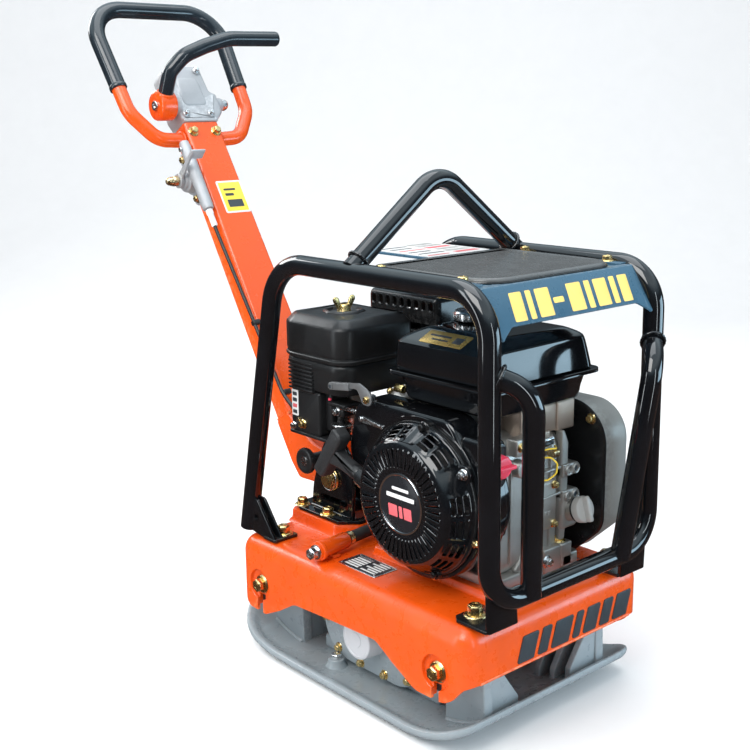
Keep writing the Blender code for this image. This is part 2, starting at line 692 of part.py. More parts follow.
def fan_shroud():
    """Ring round the flywheel that runs up and back over the cylinder."""
    y, z = CRANK_Y, CRANK_Z
    outline = arc(y, z, 0.1050, 130, 270, 8)
    outline += [(y + 0.060, z - 0.0960), (y + 0.1130, z - 0.0400), (y + 0.1430, z + 0.0350),
                (y + 0.1270, z + 0.0940), (y + 0.1080, z + 0.1080), (y - 0.0500, z + 0.1080)]
    shroud = flat("fan_shroud", outline, -0.1030, -0.0690, "x", BLACK)
    add(shroud, box("switch housing", -0.0985, -0.0735, y - 0.1130, y - 0.060,
                    z + 0.034, z + 0.092, r=0.006))
    cut(shroud, x_rod("flywheel space", -0.12, -0.0735, y, z, 0.0960, n=36))
    cut(shroud, x_rod("inner hole", -0.0800, -0.05, y, z, 0.0500, n=32))
    smooth(shroud)


def recoil_cover():
    profile = [(-0.1380, 0.0), (-0.1380, 0.0700), (-0.1240, 0.0790), (-0.1070, 0.0940),
               (-0.1033, 0.0940), (-0.1033, 0.0985), (-0.1080, 0.0985), (-0.1260, 0.0830),
               (-0.1370, 0.0770), (-0.1400, 0.0740), (-0.1400, 0.0)]
    cover = turned("recoil_cover", profile, CRANK, "x", BLACK, 36)
    add(cover, rod("rope guide nose", GRIP - ROPE * 0.0880, GRIP - ROPE * 0.0600, 0.0125, n=16))
    cut(cover, rod("rope hole", GRIP - ROPE * 0.1200, GRIP - ROPE * 0.04, 0.0050, n=12))
    smooth(cover)


def recoil_pulley():
    profile = [(-0.1360, 0.0080), (-0.1360, 0.0480), (-0.1330, 0.0480), (-0.1310, 0.0400),
               (-0.1280, 0.0480), (-0.1240, 0.0480), (-0.1240, 0.0080)]
    smooth(turned("recoil_pulley", profile, CRANK, "x", PLASTIC, 28))


def starter_grip():
    """T grip with its rope stub."""
    bar = Vector((0, -0.5500, 0.8352))
    grip = tube("starter_grip", [GRIP + bar * d for d in (-0.0330, -0.0290, 0.0290, 0.0330)],
                0.0115, PLASTIC)
    add(grip, rod("stem", GRIP - ROPE * 0.0590, GRIP, 0.0085, n=12, r2=0.0095))
    add(grip, rod("rope", GRIP - ROPE * 0.1120, GRIP - ROPE * 0.05, 0.0034, n=8))
    smooth(grip)


# ------------------------------------------------------------------ fuel, air and exhaust
def tank_upper():
    """Upper half of the tank, its top drawn in to a smaller raised face."""
    upper = box("upper", -0.0865, 0.1070, -0.1890, -0.0130, 0.4360, 0.4740, r=0.014, edges="vert")
    bm = bmesh.new()
    bm.from_mesh(upper.data)
    top = [face for face in bm.faces if face.normal.z > 0.9]
    extruded = bmesh.ops.extrude_face_region(bm, geom=top)["geom"]
    raised = [item for item in extruded if isinstance(item, bmesh.types.BMVert)]
    # the original top face would be left inside
    bmesh.ops.delete(bm, geom=top, context="FACES")
    for v in raised:
        v.co.z = 0.4910
        v.co.x = 0.0085 + (v.co.x - 0.01025) * 0.72
        v.co.y = -0.1010 + (v.co.y + 0.1010) * 0.78
    bmesh.ops.recalc_face_normals(bm, faces=bm.faces)
    bm.to_mesh(upper.data)
    bm.free()
    return upper


def fuel_tank():
    """Lower pan, seam flange and bevelled top, hollow with an open filler neck."""
    neck_x, neck_y, _ = FUEL_CAP
    tank = box("fuel_tank", -0.0780, 0.0980, -0.1820, -0.0180, 0.3990, 0.4350, BLACK, r=0.014)
    add(tank, box("flange", -0.0925, 0.1130, -0.1950, -0.0070, 0.4320, 0.4370,
                  r=0.012, edges="vert"))
    add(tank, tank_upper())
    add(tank, z_rod("neck", neck_x, neck_y, 0.488, 0.4930, 0.0200))
    cut(tank, box("inside", -0.0720, 0.0920, -0.1760, -0.0240, 0.4030, 0.4700, r=0.008, seg=1))
    cut(tank, z_rod("mouth", neck_x, neck_y, 0.460, 0.50, 0.0150))
    smooth(tank)


def fuel_cap():
    profile = [(0.5075, 0.0), (0.5075, 0.0130), (0.5060, 0.0150), (0.5060, 0.0225),
               (0.5020, 0.0265), (0.4934, 0.0255), (0.4934, 0.0)]
    smooth(turned("fuel_cap", profile, (*FUEL_CAP[:2], 0), "z", ALU, 28))


def cleaner_outline(inset=0.0):
    """(x, y) outline of the air cleaner, with large corners on its left."""
    k = 0.026
    small = 0.008
    x0, x1, y0, y1 = -0.1100 + inset, 0.0200 - inset, 0.0560 + inset, 0.1960 - inset
    return [(x0 + k, y0), (x1 - small, y0), (x1, y0 + small), (x1, y1 - small), (x1 - small, y1),
            (x0 + k * 1.1, y1), (x0 + k * 0.3, y1 - k * 0.6), (x0, y1 - k * 1.2), (x0, y0 + k),
            (x0 + k * 0.3, y0 + k * 0.3)]


def air_cleaner_cover():
    x, y, _ = WING_NUT
    top = 0.4885
    cover = flat("air_cleaner_cover", cleaner_outline(), 0.4290, top, "z", PLASTIC)
    bm = bmesh.new()
    bm.from_mesh(cover.data)
    # merge the fill's triangles so that only the rim is bevelled
    bmesh.ops.dissolve_limit(bm, angle_limit=radians(1), verts=bm.verts, edges=bm.edges)
    rim = [edge for edge in bm.edges if all(v.co.z > top - 1e-6 for v in edge.verts)]
    bmesh.ops.bevel(bm, geom=rim, offset=0.009, segments=2, profile=0.5,
                    affect="EDGES", clamp_overlap=True)
    bm.to_mesh(cover.data)
    bm.free()
    cut(cover, box("inside", -0.1060, 0.0160, 0.0800, 0.1720, 0.42, 0.4750))
    cut(cover, z_rod("nut recess", x, y, 0.4870, 0.50, 0.0220, n=28))
    cut(cover, z_rod("stud hole", x, y, 0.46, 0.50, 0.0040, n=12))
    smooth(cover)


def air_cleaner_base():
    x, y, _ = WING_NUT
    base = flat("air_cleaner_base", cleaner_outline(0.0030), 0.3860, 0.4287, "z", PLASTIC)
    cut(base, box("inside", -0.0900, 0.0050, 0.0850, 0.1650, 0.3950, 0.44))
    add(base, z_rod("stud", x, y, 0.3900, 0.4950, 0.0032, n=12))
    smooth(base)


def filter_element():
    x, y, _ = WING_NUT
    element = box("filter_element", -0.0850, 0.0000, 0.0900, 0.1600, 0.3960, 0.4700, FOAM,
                  r=0.012, edges="vert")
    cut(element, z_rod("hole", x, y, 0.38, 0.48, 0.0180, n=20))
    smooth(element)


def wing_nut():
    x, y, _ = WING_NUT
    profile = [(0.4980, 0.0036), (0.4980, 0.0060), (0.4950, 0.0075), (0.4878, 0.0100),
               (0.4878, 0.0036)]
    # distance from the nut's axis, z
    wing = [(0.0050, 0.4900), (0.0100, 0.4920), (0.0185, 0.5060), (0.0150, 0.5100),
            (0.0100, 0.5060), (0.0050, 0.4970)]
    nut = turned("wing_nut", profile, (x, y, 0), "z", BRASS, 16)
    for s in (-1, 1):
        add(nut, flat("wing", [(x + s * out, z) for out, z in wing], 0.1265, 0.1295, "y"))
    smooth(nut)


def carburettor():
    ob = box("carburettor", -0.0600, -0.0200, 0.1000, 0.1480, 0.3420, 0.3855, ALU, r=0.004, seg=1)
    add(ob, z_rod("bowl", -0.040, 0.124, 0.3200, 0.3430, 0.0190, n=20))
    smooth(ob)


def carburettor_cover():
    cover = box("carburettor_cover", -0.1050, -0.0640, 0.1000, 0.1760, 0.3210, 0.3855, PLASTIC,
                r=0.005)
    cut(cover, box("inside", -0.1010, -0.05, 0.1040, 0.1720, 0.3250, 0.3810))
    add(cover, box("strap", -0.1070, -0.0990, 0.0860, 0.1790, 0.3180, 0.3260))
    smooth(cover)


def engine_control_lever():
    """Speed lever, its rear end tipped up by three degrees."""
    z = 0.398
    lever = box("engine_control_lever", -0.1165, -0.1140, 0.0000, 0.0780, 0.3935, 0.4025, STEEL)
    place(lever, Matrix.Translation((0, 0, z)) @ Matrix.Rotation(radians(3), 4, "X")
          @ Matrix.Translation((0, 0, -z)))
    add(lever, x_rod("pivot", -0.1165, -0.1040, 0.0, z, 0.0080, n=16))
    smooth(lever)


def muffler():
    ob = box("muffler", 0.0300, 0.1000, 0.0600, 0.1750, 0.3900, 0.4650, BLACK, r=0.012)
    pipe = [(0.070, 0.090, 0.400), (0.070, 0.085, 0.345), (0.070, 0.040, 0.335),
            (0.0500, 0.038, 0.335)]
    add(ob, tube("pipe", bent(pipe, 0.012), 0.0110))
    smooth(ob)


def muffler_guard():
    """Open-bottomed sheet box with louvres in its left wall."""
    guard = box("muffler_guard", 0.0260, 0.1080, 0.0180, 0.1600, 0.4720, 0.5100, BLACK,
                r=0.008, edges="topvert")
    cut(guard, box("inside", 0.0285, 0.1055, 0.0205, 0.1575, 0.46, 0.5070))
    for k in range(8):
        y = 0.028 + 0.0155 * k
        cut(guard, box("louvre", 0.02, 0.0300, y, y + 0.0075, 0.4900, 0.5020))
    smooth(guard)


def oil_filler_cap():
    cap = rod("oil_filler_cap", OIL_CAP - OIL_DIR * 0.0161, OIL_CAP - OIL_DIR * 0.0060,
              0.0170, PLASTIC, n=20)
    grip = box("grip", -0.0035, 0.0035, -0.0150, 0.0150, -0.0080, 0.0, r=0.002, seg=1)
    turn = OIL_DIR.to_track_quat("Z", "X").to_matrix().to_4x4()
    add(cap, place(grip, Matrix.Translation(OIL_CAP) @ turn))
    smooth(cap)


def engine_switch():
    x, _, z = SWITCH
    switch = rod("engine_switch", (x, -0.2003, z), (x, -0.2120, z), 0.0130, RED, n=20)
    add(switch, box("grip", x - 0.0025, x + 0.0025, -0.2170, -0.2110, z - 0.012, z + 0.012))
    smooth(switch)


def drain_hose():
    """Engine oil drain hose with its plug."""
    z = 0.1830
    hose = rod("drain_hose", (-0.1550, 0.0640, z), (-0.0960, 0.0720, z), 0.0115, ORANGE, n=16)
    path = [(-0.1000, 0.0715, z), (-0.050, 0.0780, z), (-0.020, 0.066, 0.190)]
    add(hose, tube("hose", bent(path, 0.03), 0.0085))
    add(hose, hexhead("plug", (-0.1680, 0.0622, z), (-0.1540, 0.0641, z), 0.0170))
    smooth(hose)


# ================================================================== guard frame and top cover
# right-hand feet: x range, y range, bolt (x, y), web x range, web (y, z) outline
FRAME_FEET = (
    ((0.1500, 0.0960), (-0.2250, -0.1860), (0.1220, -0.2000), (0.1010, 0.1058),
     [(-0.2250, BODY_TOP + 0.002), (-0.2190, BODY_TOP + 0.002), (-0.2330, 0.2080),
      (-0.2480, 0.2080)]),
    ((0.1560, 0.1140), (0.1550, 0.1850), (0.1290, 0.1700), (0.1500, 0.1550),
     [(0.1550, BODY_TOP + 0.001), (0.1850, BODY_TOP + 0.001), (0.2240, 0.1750),
      (0.2130, 0.2230), (0.1960, 0.2230)]),
)


def frame_foot(s, x_range, y_range, bolt, web_x, web):
    foot = box("foot", *sorted(s * x for x in x_range), *y_range,
               BODY_TOP + GAP, BODY_TOP + 0.0043)
    add(foot, flat("web", web, s * web_x[0], s * web_x[1], "x"))
    x, y = s * bolt[0], bolt[1]
    add(foot, hexhead("bolt", (x, y, BODY_TOP + 0.003), (x, y, BODY_TOP + 0.0170), 0.0170))
    return foot


def guard_frame():
    x, top, front, rear = HOOP_X, HOOP_TOP, HOOP_FRONT, HOOP_REAR
    low_front = (front - 0.004, 0.2030)
    low_rear = (rear + 0.0830, 0.1750)
    # one tube: up from the left rear foot, round the front, back to the right rear foot
    hoop = [(-x, *low_rear), (-x, rear, top), (-x, front, top), (-x, *low_front),
            (x, *low_front), (x, front, top), (x, rear, top), (x, *low_rear)]
    frame = tube("guard_frame", bent(hoop, [0.070, 0.055, 0.050, 0.050, 0.055, 0.070]),
                 TUBE_R, BLACK)
    for s in (-1, 1):
        loop = [(s * x, front, 0.4770), (s * 0.1100, front - 0.032, 0.4560),
                (s * 0.0850, front - 0.0110, 0.2030)]
        add(frame, tube("front loop", bent(loop, 0.045), TUBE_R - 0.0002))
    lift_y = -0.0115
    lift = [(-x, lift_y, top + 0.004), (0.0, lift_y, 0.6830), (x, lift_y, top + 0.004)]
    add(frame, tube("lifting bar", bent(lift, 0.045), TUBE_R - 0.0003))
    for s in (-1, 1):
        for foot in FRAME_FEET:
            add(frame, frame_foot(s, *foot))
    smooth(frame, 50)


def top_cover():
    """Sheet between the hoop tubes with a raised pad and a folded front panel."""
    z = HOOP_TOP
    # the sheet reaches back over the muffler on the right only
    sheet = [(-0.1340, -0.2100), (0.1340, -0.2100), (0.1340, 0.1500), (0.0060, 0.1500),
             (0.0060, 0.0120), (-0.1340, 0.0120)]
    cover = flat("top_cover", sheet, z - 0.0020, z + 0.0010, "z", COVER)
    pad = box("pad", -0.1180, 0.1180, -0.2120, -0.0150, z, z + 0.0080, r=0.005, edges="topvert")
    cut(pad, box("pad inside", -0.1150, 0.1150, -0.2090, -0.0180, z - 0.02, z + 0.0050))
    add(cover, pad)
    # the front panel leans forwards along the hoop's bend and ends in two ears
    section = [(-0.2060, 0.5640), (-0.2060, 0.5670), (-0.2160, 0.5670), (-0.2495, 0.5130),
               (-0.2468, 0.5113), (-0.2145, 0.5640)]
    panel = flat("panel", section, -0.1335, 0.1335, "x")
    between_ears = [(-0.1120, 0.5250), (0.1120, 0.5250), (0.1260, 0.5080), (0.1260, 0.5000),
                    (-0.1260, 0.5000), (-0.1260, 0.5080)]
    cut(panel, flat("between ears", between_ears, -0.2600, -0.2250, "y"))
    add(cover, panel)
    # notches where the lifting bar passes
    for s in (-1, 1):
        cut(cover, box("notch", *sorted((s * 0.0980, s * 0.1400)), -0.0300, 0.0070,
                       z - 0.004, z + 0.03))
    smooth(cover)


# ================================================================== handle
def handle_stand():
    """Stand bolted on the body: base plate and two ears."""
    base = [(-0.050, 0.095), (0.050, 0.095), (0.074, 0.116), (0.074, 0.205), (0.052, 0.2240),
            (-0.052, 0.2240), (-0.074, 0.205), (-0.074, 0.116)]
    ear = [(0.1080, 0.189), (0.2000, 0.189), (0.1950, 0.2250), (0.1800, 0.2700),
           (0.1620, 0.3050), (0.1300, 0.3050), (0.1120, 0.2850), (0.1050, 0.2400)]
    stand = flat("handle_stand", base, 0.1868, STAND_TOP, "z", BLACK)
    for s in (-1, 1):
        add(stand, flat("ear", ear, s * EAR_INNER, s * EAR_OUTER, "x"))
    for s in (-1, 1):
        for y in (0.1500, 0.2090):
            add(stand, hexhead("bolt", (s * 0.0620, y, 0.190), (s * 0.0620, y, 0.2010), 0.0150))
    add(stand, x_rod("knob boss", -0.0530, -0.0620, LOCK_Y, LOCK_Z, 0.0120, n=16))
    cut(stand, x_rod("knob hole", -0.045, -0.07, LOCK_Y, LOCK_Z, 0.0054, n=16))
    cut(stand, x_rod("pivot hole", -0.07, 0.07, PIVOT.y, PIVOT.z, 0.0083, n=20))
    smooth(stand)


def pivot_bolt():
    bolt = x_rod("pivot_bolt", -0.0620, 0.0620, PIVOT.y, PIVOT.z, 0.0080, ZINC, n=20)
    for s in (-1, 1):
        add(bolt, x_rod("head", s * 0.0545, s * 0.0640, PIVOT.y, PIVOT.z, 0.0150))
    smooth(bolt)


def lock_knob():
    knob = x_rod("lock_knob", -0.0450, -0.0960, LOCK_Y, LOCK_Z, 0.0050, PLASTIC, n=16)
    add(knob, x_rod("sleeve", -0.0640, -0.0980, LOCK_Y, LOCK_Z, 0.0085, n=16))
    add(knob, x_rod("disc", -0.0970, -0.1060, LOCK_Y, LOCK_Z, 0.0180, n=28))
    smooth(knob)


def handle_column():
    """Folded column, wider at its foot, with a yoke that reaches to the pivot."""
    foot, end = 0.0450, 0.6250
    foot_half, end_half = 0.0380, 0.0325
    t = 0.0030
    column = flat("handle_column", [(-foot_half, foot), (foot_half, foot), (end_half, end),
                                    (-end_half, end)], 0.0600, 0.0960, "y", ORANGE)
    cut(column, flat("inside", [(-foot_half + t, foot - 0.02), (foot_half - t, foot - 0.02),
                                (end_half - t, end + 0.02), (-end_half + t, end + 0.02)],
                     0.0630, 0.0930, "y"))
    yoke = [(-0.0180, -0.0120), (0.0140, -0.0180), (0.0600, 0.0120), (0.0900, 0.0290),
            (0.1220, 0.0360), (0.0980, 0.0700), (0.0980, 0.1050), (0.0780, 0.1250),
            (0.0600, 0.1100), (0.0300, 0.0600), (-0.0140, 0.0220)]
    for s in (-1, 1):
        add(column, flat("yoke", yoke, s * 0.0360, s * 0.0420, "x"))
    add(column, box("cross plate", -0.0400, 0.0400, 0.0560, 0.0602, 0.0300, 0.1000))
    for s in (-1, 1):
        x, z = s * 0.0227, 0.6126
        add(column, hexhead("bolt", (x, 0.0610, z), (x, 0.0530, z), 0.0130))
    cut(column, x_rod("pivot hole", -0.06, 0.06, 0, 0, 0.0085, n=20))
    place(column, LEAN_M)
    cut(column, x_rod("knob hole", -0.030, -0.060, LOCK_Y, LOCK_Z, 0.0056, n=16))
    smooth(column)


def handle_loop():
    """Loop whose two ends stop against the column's side walls."""
    y = 0.0790
    right = [(0.1220, y, 0.8480), (0.1120, y, 0.6550), (0.0780, y, 0.6060), (0.0300, y, 0.6030)]
    left = [(-x, y, z) for x, y, z in reversed(right)]
    loop = tube("handle_loop", bent(left + right, [0.035, 0.050, 0.060, 0.060, 0.050, 0.035]),
                0.0115, ORANGE)
    cut(loop, flat("column space", [(-0.0334, 0.56), (0.0334, 0.56), (0.0328, 0.65),
                                    (-0.0328, 0.65)], 0.05, 0.12, "y"))
    place(loop, LEAN_M)
    smooth(loop, 50)


# ------------------------------------------------------------------ controls
def control_head():
    """Head on the column's end, with a hose port on its right."""
    outline = [(-0.0310, 0.6254), (0.0310, 0.6254), (0.0500, 0.6450), (0.0500, 0.6750),
               (0.0380, 0.6820), (0.0350, 0.7300), (-0.0340, 0.7300), (-0.0360, 0.6450)]
    head = flat("control_head", outline, 0.0590, 0.1020, "y", ALU)
    add(head, x_rod("port", 0.0480, 0.0600, 0.0800, 0.6600, 0.0110, n=16))
    add(head, x_rod("fitting", 0.0590, 0.0660, 0.0800, 0.6600, 0.0090, n=16, r2=0.0050))
    cut(head, x_rod("lever shaft hole", -0.0180, -0.05, *HUB, 0.0060, n=12))
    place(head, LEAN_M)
    smooth(head)


def travel_lever():
    """Hub with its shaft, and the bent bar pressed into it."""
    hub = x_rod("lever_hub", -0.0405, -0.0685, *HUB, 0.0235, ORANGE, n=28)
    add(hub, x_rod("shaft", -0.0190, -0.0420, *HUB, 0.0055, n=12))
    out = Vector((0, -0.852, 0.523)).normalized()
    root = Vector((LEVER_X, *HUB)) + out * 0.0100
    cut(hub, rod("socket", root - out * 0.0006, root + out * 0.05, 0.0128, n=20))
    place(hub, LEAN_M)
    smooth(hub)
    path = [root, root + out * 0.0470, (-0.0350, -0.0050, 0.7050), (0.0, -0.0180, 0.7140),
            (0.0400, -0.0300, 0.7210), (0.1250, -0.0400, 0.7160)]
    bar = tube("travel_lever", bent(path, [0.020, 0.040, 0.060, 0.080]), 0.0118, PLASTIC)
    place(bar, LEAN_M)
    smooth(bar, 50)


def throttle_housing():
    """Housing on the column's left side."""
    outline = []
    for y, z, r, start, end in ((0.0865, 0.5725, 0.0110, 0, 180), (*THROTTLE, 0.0240, 120, 240),
                                (0.0870, 0.5030, 0.0110, 180, 360), (*THROTTLE, 0.0240, -60, 60)):
        outline += arc(y, z, r, start, end, 4)
    housing = flat("throttle_housing", outline, -0.0400, -0.0344, "x", ALU)
    add(housing, box("arm", -0.0470, -0.0350, 0.0560, 0.0700, 0.5100, 0.5600))
    add(housing, z_rod("bar", -0.0470, 0.0600, 0.4690, 0.5900, 0.0090, n=16))
    add(housing, x_rod("boss", -0.0390, -0.0530, *THROTTLE, 0.0190))
    add(housing, x_rod("cone", -0.0520, -0.0590, *THROTTLE, 0.0150, r2=0.0110))
    add(housing, x_rod("pin", -0.0580, -0.0780, *THROTTLE, 0.0042, n=12))
    place(housing, LEAN_M)
    smooth(housing)


def throttle_lever():
    pivot = Vector((0, *THROTTLE))
    out = Vector((0, 0.0220 - THROTTLE[0], 0.5530 - THROTTLE[1])).normalized()
    across = Vector((0, -out.z, out.y))

    def strip(start, end, half_start, half_end):
        """(y, z) outline along the lever, between two distances from its pivot."""
        near, far = pivot + out * start, pivot + out * end
        corners = (near + across * half_start, near - across * half_start,
                   far - across * half_end, far + across * half_end)
        return [(corner.y, corner.z) for corner in corners]

    lever = x_rod("throttle_lever", -0.0594, -0.0660, *THROTTLE, 0.0115, ALU, n=20)
    add(lever, flat("arm", strip(0.0, 0.0640, 0.0060, 0.0030), -0.0652, -0.0612, "x"))
    add(lever, flat("pad", strip(0.0480, 0.0660, 0.0020, 0.0020), -0.0658, -0.0400, "x"))
    cut(lever, x_rod("pin hole", -0.05, -0.08, *THROTTLE, 0.0048, n=12))
    place(lever, LEAN_M)
    smooth(lever)


def throttle_nut():
    nut = hexhead("throttle_nut", (-0.0664, *THROTTLE), (-0.0770, *THROTTLE), 0.0150, BRASS)
    add(nut, x_rod("dome", -0.0760, -0.0870, *THROTTLE, 0.0070, n=16, r2=0.0030))
    cut(nut, x_rod("pin hole", -0.05, -0.0784, *THROTTLE, 0.0048, n=12))
    place(nut, LEAN_M)
    smooth(nut)


def throttle_cable():
    path = [(-0.0470, 0.0600, 0.4630), (-0.0465, 0.0610, 0.4300), (-0.0440, 0.0570, 0.2730),
            (-0.0480, 0.0470, 0.1500), (-0.0500, 0.0180, 0.0900)]
    cable = tube("throttle_cable", bent(path, [0.05, 0.10, 0.08]), 0.0028, PLASTIC, 1)
    add(cable, z_rod("ferrule", -0.0470, 0.0600, 0.4686, 0.4400, 0.0048, n=10))
    place(cable, LEAN_M)
    smooth(cable)


# ================================================================== joints
# empty's name: its place and the pieces or empties it carries; a carried empty comes first
JOINTS = {
    "axis_crank": (CRANK, ("crankshaft", "flywheel_fan", "clutch_drum")),
    "axis_exciter_front": ((0, -EXC_Y, EXC_Z), ("eccentric_shaft_front", "exciter_pulley")),
    "axis_exciter_rear": ((0, EXC_Y, EXC_Z), ("eccentric_shaft_rear",)),
    "axis_recoil_pulley": ((-0.1200, CRANK_Y, CRANK_Z), ("recoil_pulley",)),
    "axis_starter_grip": (GRIP, ("starter_grip",)),
    "axis_travel_lever": (LEAN_M @ Vector((LEVER_X, *HUB)), ("lever_hub", "travel_lever")),
    "axis_throttle": (LEAN_M @ Vector((-0.0640, *THROTTLE)), ("throttle_lever",)),
    "axis_handle": (PIVOT, ("handle_column", "handle_loop", "control_head", "throttle_housing",
                            "throttle_nut", "throttle_cable", "axis_travel_lever",
                            "axis_throttle")),
    "axis_lock_knob": ((-0.0960, LOCK_Y, LOCK_Z), ("lock_knob",)),
    "axis_engine_control": ((-0.1150, 0.0, 0.3980), ("engine_control_lever",)),
    "axis_fuel_cap": (FUEL_CAP, ("fuel_cap",)),
    "axis_wing_nut": (WING_NUT, ("wing_nut",)),
    "axis_engine_switch": (SWITCH, ("engine_switch",)),
    "axis_oil_cap": (OIL_CAP, ("oil_filler_cap",)),
}


def joints():
    """Parent every moving piece to an empty on its joint's axis, keeping it in place."""
    for name, (location, carried) in JOINTS.items():
        empty = bpy.data.objects.new(name, None)
        empty.empty_display_size = 0.03
        empty.location = location
        PARTS.objects.link(empty)
        bpy.context.view_layer.update()
        for child_name in carried:
            child = bpy.data.objects[child_name]
            child.parent = empty
            child.matrix_parent_inverse = empty.matrix_world.inverted()


# ------------------------------------------------------------------ build
base_plate()
exciter_case()
exciter_covers()
eccentric_shaft("eccentric_shaft_front", -EXC_Y, phase=0.0, x1=0.1405)
eccentric_shaft("eccentric_shaft_rear", EXC_Y, phase=0.5, x1=0.1035)
exciter_bearings()
exciter_pulley()
rubber_mounts()
main_body()
belt_cover()
clutch_drum()
drive_belt()
engine_crankcase()
crankcase_side_cover()
cylinder_head()
crankshaft()
piston()
connecting_rod()
flywheel_fan()
fan_shroud()
recoil_cover()
recoil_pulley()
starter_grip()
fuel_tank()
fuel_cap()
air_cleaner_cover()
air_cleaner_base()
filter_element()
wing_nut()
carburettor()
carburettor_cover()
engine_control_lever()
muffler()
muffler_guard()
oil_filler_cap()
engine_switch()
drain_hose()
guard_frame()
top_cover()
handle_stand()
pivot_bolt()
lock_knob()
handle_column()
handle_loop()
control_head()
travel_lever()
throttle_housing()
throttle_lever()
throttle_nut()
throttle_cable()
joints()
bpy.context.view_layer.update()
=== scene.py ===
"""A vibrating plate compactor: ground plate, exciter, engine, tube guard frame and leaning handle.

Metres, +Z up. The ground is at z = 0, the front faces -Y and the left side is -X. The plate
stands below on four rubber mounts, the engine rides on the orange housing, and the handle
leans to the rear about PIVOT. Handle parts are drawn upright in the handle's own frame
(x, y, distance up the column) and then tipped by LEAN_M.
"""
from math import sin, cos, pi, radians, sqrt, atan2
import bpy
import bmesh
from mathutils import Matrix, Vector

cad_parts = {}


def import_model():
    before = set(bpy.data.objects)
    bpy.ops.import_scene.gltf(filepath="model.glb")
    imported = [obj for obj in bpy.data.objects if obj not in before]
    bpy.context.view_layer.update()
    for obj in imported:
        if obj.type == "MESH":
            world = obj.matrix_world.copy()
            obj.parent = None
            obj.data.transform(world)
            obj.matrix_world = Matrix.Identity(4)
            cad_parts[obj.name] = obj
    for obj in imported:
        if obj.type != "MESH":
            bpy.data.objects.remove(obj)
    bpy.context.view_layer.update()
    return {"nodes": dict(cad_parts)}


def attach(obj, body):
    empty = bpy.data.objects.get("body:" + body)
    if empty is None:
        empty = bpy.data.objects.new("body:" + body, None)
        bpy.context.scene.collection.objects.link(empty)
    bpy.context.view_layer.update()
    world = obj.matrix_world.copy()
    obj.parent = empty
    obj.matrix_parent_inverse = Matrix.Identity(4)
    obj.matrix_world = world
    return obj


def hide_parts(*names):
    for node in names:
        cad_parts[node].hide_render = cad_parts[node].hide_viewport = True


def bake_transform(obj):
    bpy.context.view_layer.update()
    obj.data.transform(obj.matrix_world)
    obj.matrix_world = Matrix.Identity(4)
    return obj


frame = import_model()

# ---------------------------------------------------------------- driving sizes and places
PLATE_HALF, PLATE_FRONT, PLATE_REAR, PLATE_T = .175, -.2215, .262, .009
BODY_HALF, BODY_FRONT, BODY_REAR, BODY_TOP, BODY_T = .1669, -.2289, .2289, .169, .0045
MOUNTS_Y = [side * .178 + .002 for side in (-1, 1)]   # front, rear
MOUNT_Z = .103
SHAFT_Y, SHAFT_Z = .045, .072                         # eccentric shafts, at -y and +y
CRANK_Y, CRANK_Z = -.087, .286
CRANK = (0, CRANK_Y, CRANK_Z)
BELT_X = .1285
HOOP_X, HOOP_TOP, HOOP_FRONT, HOOP_REAR = .149, .566, -.242, .142
TUBE_R = .013
PIVOT = Vector((0, .152, .243))
LEAN_M = Matrix.Translation(PIVOT) @ Matrix.Rotation(-radians(32), 4, "X")
HUB_Y, HUB_Z = .0665, .66                             # travel lever hub, handle frame
THROTTLE_Y, THROTTLE_Z = .085, .535                   # handle frame
GRIP = Vector((-.12, .068, .3146))                    # recoil grip
ROPE = Vector((0, .9496, .3134))                      # direction the rope is pulled
SWITCH_X, SWITCH_Z = -.086, .349
FUEL_X, FUEL_Y = .016, -.06
OIL_CAP = Vector((.069, -.215, .262))
OIL_DIR = Vector((0, -.96, .28))
LID_NUT_X, LID_NUT_Y = -.045, .128
LOCK_Y, LOCK_Z = .15, .28
VIEW_YAW = radians(41.2194)                           # camera heading, from +Y towards +X

SIDES = (-1, 1)                                       # left, right
LEFT, RIGHT, FRONT, REAR = (-1, 0, 0), (1, 0, 0), (0, -1, 0), (0, 1, 0)
UP, DOWN = (0, 0, 1), (0, 0, -1)

WORK = bpy.data.collections.new("visual")
bpy.context.scene.collection.children.link(WORK)


